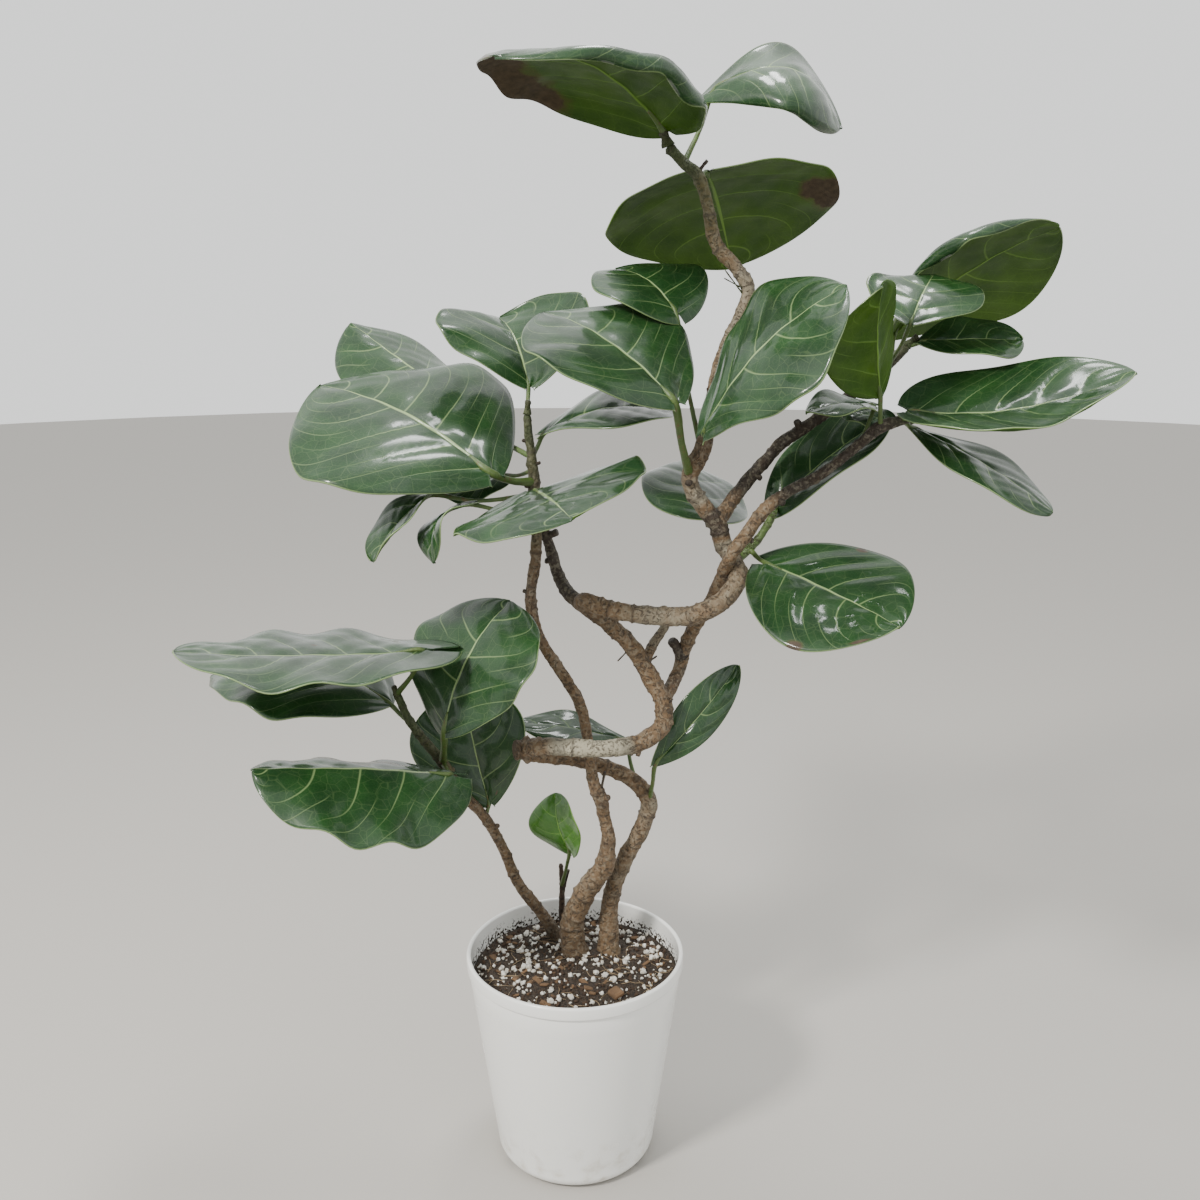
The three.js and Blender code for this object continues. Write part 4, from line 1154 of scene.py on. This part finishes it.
stalk_spots = stalk_finish.steps(stalk_finish.noise(190, 5), 0.58, 0.68, 0, 0.7)
stalk_finish.paint(stalk_spots, stalk_tone, (0.11, 0.06, 0.025))
stalk_finish.bump(stalk_finish.noise(500, 4), 0.0006)
print("leaf finishes ready")

# %% [markdown]
# ## Making a leaf
# Two grids are bent onto the surface, the upper skin a fraction of a millimetre above it and the lower
# skin below. Columns are packed close to the midrib, because the rib under the leaf is narrow. Bridging
# the two open edges closes the blade. The stalk is a tube that sags a little and ends inside the rib.

# %% The skins of a leaf
COLUMNS = 48
ROWS = 64
BLADE = 1.2 * MM
PUFF = 2.3 * MM  # between veins, on a full-grown leaf
FULL_GROWN = 0.18
TINY = 0.004
STALK_RADIUS = 2.7 * MM
STALK_MIDDLE = 0.55
STALK_SAG = 0.06
STOUT_STALKS = (1, 5, 7, 28)
scorched = {
    # leaf number: places that dried out, as (across, along, size)
    1: [(0.98, 0.36, 0.24), (0.95, 0.52, 0.32), (0.9, 0.7, 0.36), (0.8, 0.86, 0.28)],
    3: [(0.95, 0.62, 0.18), (0.82, 0.56, 0.14)],
    24: [(0.97, 0.62, 0.08), (-0.95, 0.4, 0.06), (0.9, 0.9, 0.07)],
    29: [(0.6, 0.1, 0.04)],
    26: [(0.3, 0.45, 0.02)],
}
# leaf number: extra height of its waves in millimetres
wavier = {26: 5, 30: 7, 27: 4, 14: 3, 5: 3, 28: 3, 3: 3, 1: 3, 7: 2, 10: 3, 6: 3}
# leaf number: how far the left and right margin roll over, in degrees
rolled_margins = {1: (-150, 0), 16: (0, -140), 15: (60, 40), 19: (0, 50), 2: (0, -60), 17: (50, 0)}


def sheet(bm, surface, lift, values, flipped, material):
    """One skin of a blade: a grid bent onto the surface. lift(across, along) is how far it stands off it."""
    made = bmesh.ops.create_grid(bm, x_segments=COLUMNS, y_segments=ROWS, size=1)["verts"]
    grid = np.array([vert.co.xy for vert in made])
    across = np.sign(grid[:, 0]) * np.abs(grid[:, 0]) ** 1.35
    along = (1 - np.cos(np.pi * (grid[:, 1] + 1) / 2)) / 2
    inside = np.clip(along, TINY, 1 - TINY)
    here = surface(across, inside)
    across_way = surface(across + TINY, inside) - here
    along_way = surface(across, inside + TINY) - here
    normal = unit(np.cross(across_way, along_way))
    points = surface(across, along) + normal * lift(across, along)[:, None]
    layers = {name: bm.verts.layers.float.get(name) for name in values}
    named = {name: value(across, along) for name, value in values.items()}
    for i, vert in enumerate(made):
        vert.co = points[i]
        for name, layer in layers.items():
            vert[layer] = named[name][i]
    faces = list({face for vert in made for face in vert.link_faces})
    for face in faces:
        face.material_index = material
    if flipped:
        bmesh.ops.reverse_faces(bm, faces=faces)
    return [edge for edge in {e for v in made for e in v.link_edges} if edge.is_boundary]


print("leaf skins ready")


# %% Make the leaves
def make_leaf(number, row):
    name = f"leaf_{number:02d}"
    turn = GOLDEN_ANGLE * (number - 1)
    stem, point_number, stalk = row[:3]
    start = np.array(stems[stem][point_number][:3])
    base = start + np.array(stalk) * MM
    rolled = rolled_margins.get(number, (0, 0))
    surface, length, width = blade_surface(base, turn, row, wavier.get(number, 0), rolled)
    size = min(length / FULL_GROWN, 1)
    spots = scorched.get(number, [])

    def scorch(across, along):
        value = np.zeros(len(across))
        for spot_across, spot_along, spot_size in spots:
            away = np.hypot((across - spot_across) * 0.6, along - spot_along) / spot_size
            value = np.maximum(value, 1 - away)
        return value

    def puffed(across, along):
        fields = quilting(vein_numbers(across, along, length, turn), across, along)
        soft = np.sin(23 * along + 5 * across + turn) * np.sin(9 * across + 11 * along - turn)
        return size * (PUFF * fields + 0.7 * MM * soft * (1 - across**2))

    def upper(across, along):
        groove = np.exp(-((across * width / 2 / (1.6 * MM)) ** 2)) * (1 - along)
        return BLADE / 2 + puffed(across, along) - 0.8 * MM * groove

    def lower(across, along):
        rib = np.exp(-((across * width / 2 / (1.7 * MM)) ** 2)) * (1 - along) ** 0.7
        return puffed(across, along) - BLADE / 2 - 1.9 * size * MM * rib

    values = {
        "vein": lambda across, along: vein_numbers(across, along, length, turn),
        "across": lambda across, along: across,
        "along": lambda across, along: along,
        "scorch": scorch,
    }
    bm = bmesh.new()
    new_layers(bm, values)
    edges = sheet(bm, surface, upper, values, False, 0)
    edges += sheet(bm, surface, lower, values, True, 1)
    bmesh.ops.bridge_loops(bm, edges=edges)
    middle = start + (base - start) * STALK_MIDDLE
    middle[2] -= STALK_SAG * np.linalg.norm(base - start)
    on_blade = surface(np.zeros(2), np.array([0.01, 0.12]))
    route = [start, middle, on_blade[0], on_blade[1]]
    stout = 1.5 if number in STOUT_STALKS else 1
    radii = np.array([1.25, 0.9, 1.0, 0.45]) * STALK_RADIUS * stout * (0.7 + 0.3 * size)
    line, _ = smooth_line([[*place, radius] for place, radius in zip(route, radii)], 3 * MM)
    rolled_tube(bm, line, 10, lambda place, _: noise.noise(place * 260) * 0.25 * MM, material=2)
    kind = "young_leaf" if number == YOUNG_LEAF else "leaf"
    to_piece(bm, name + "_blade", name, [skins[kind + "_top"], skins[kind + "_underside"], stalk_finish])
    return off_by(name + "_blade", name)


apart = {number: make_leaf(number, row) for number, row in enumerate(leaf_rows, 1)}
print("leaves off the design, mm:", apart)
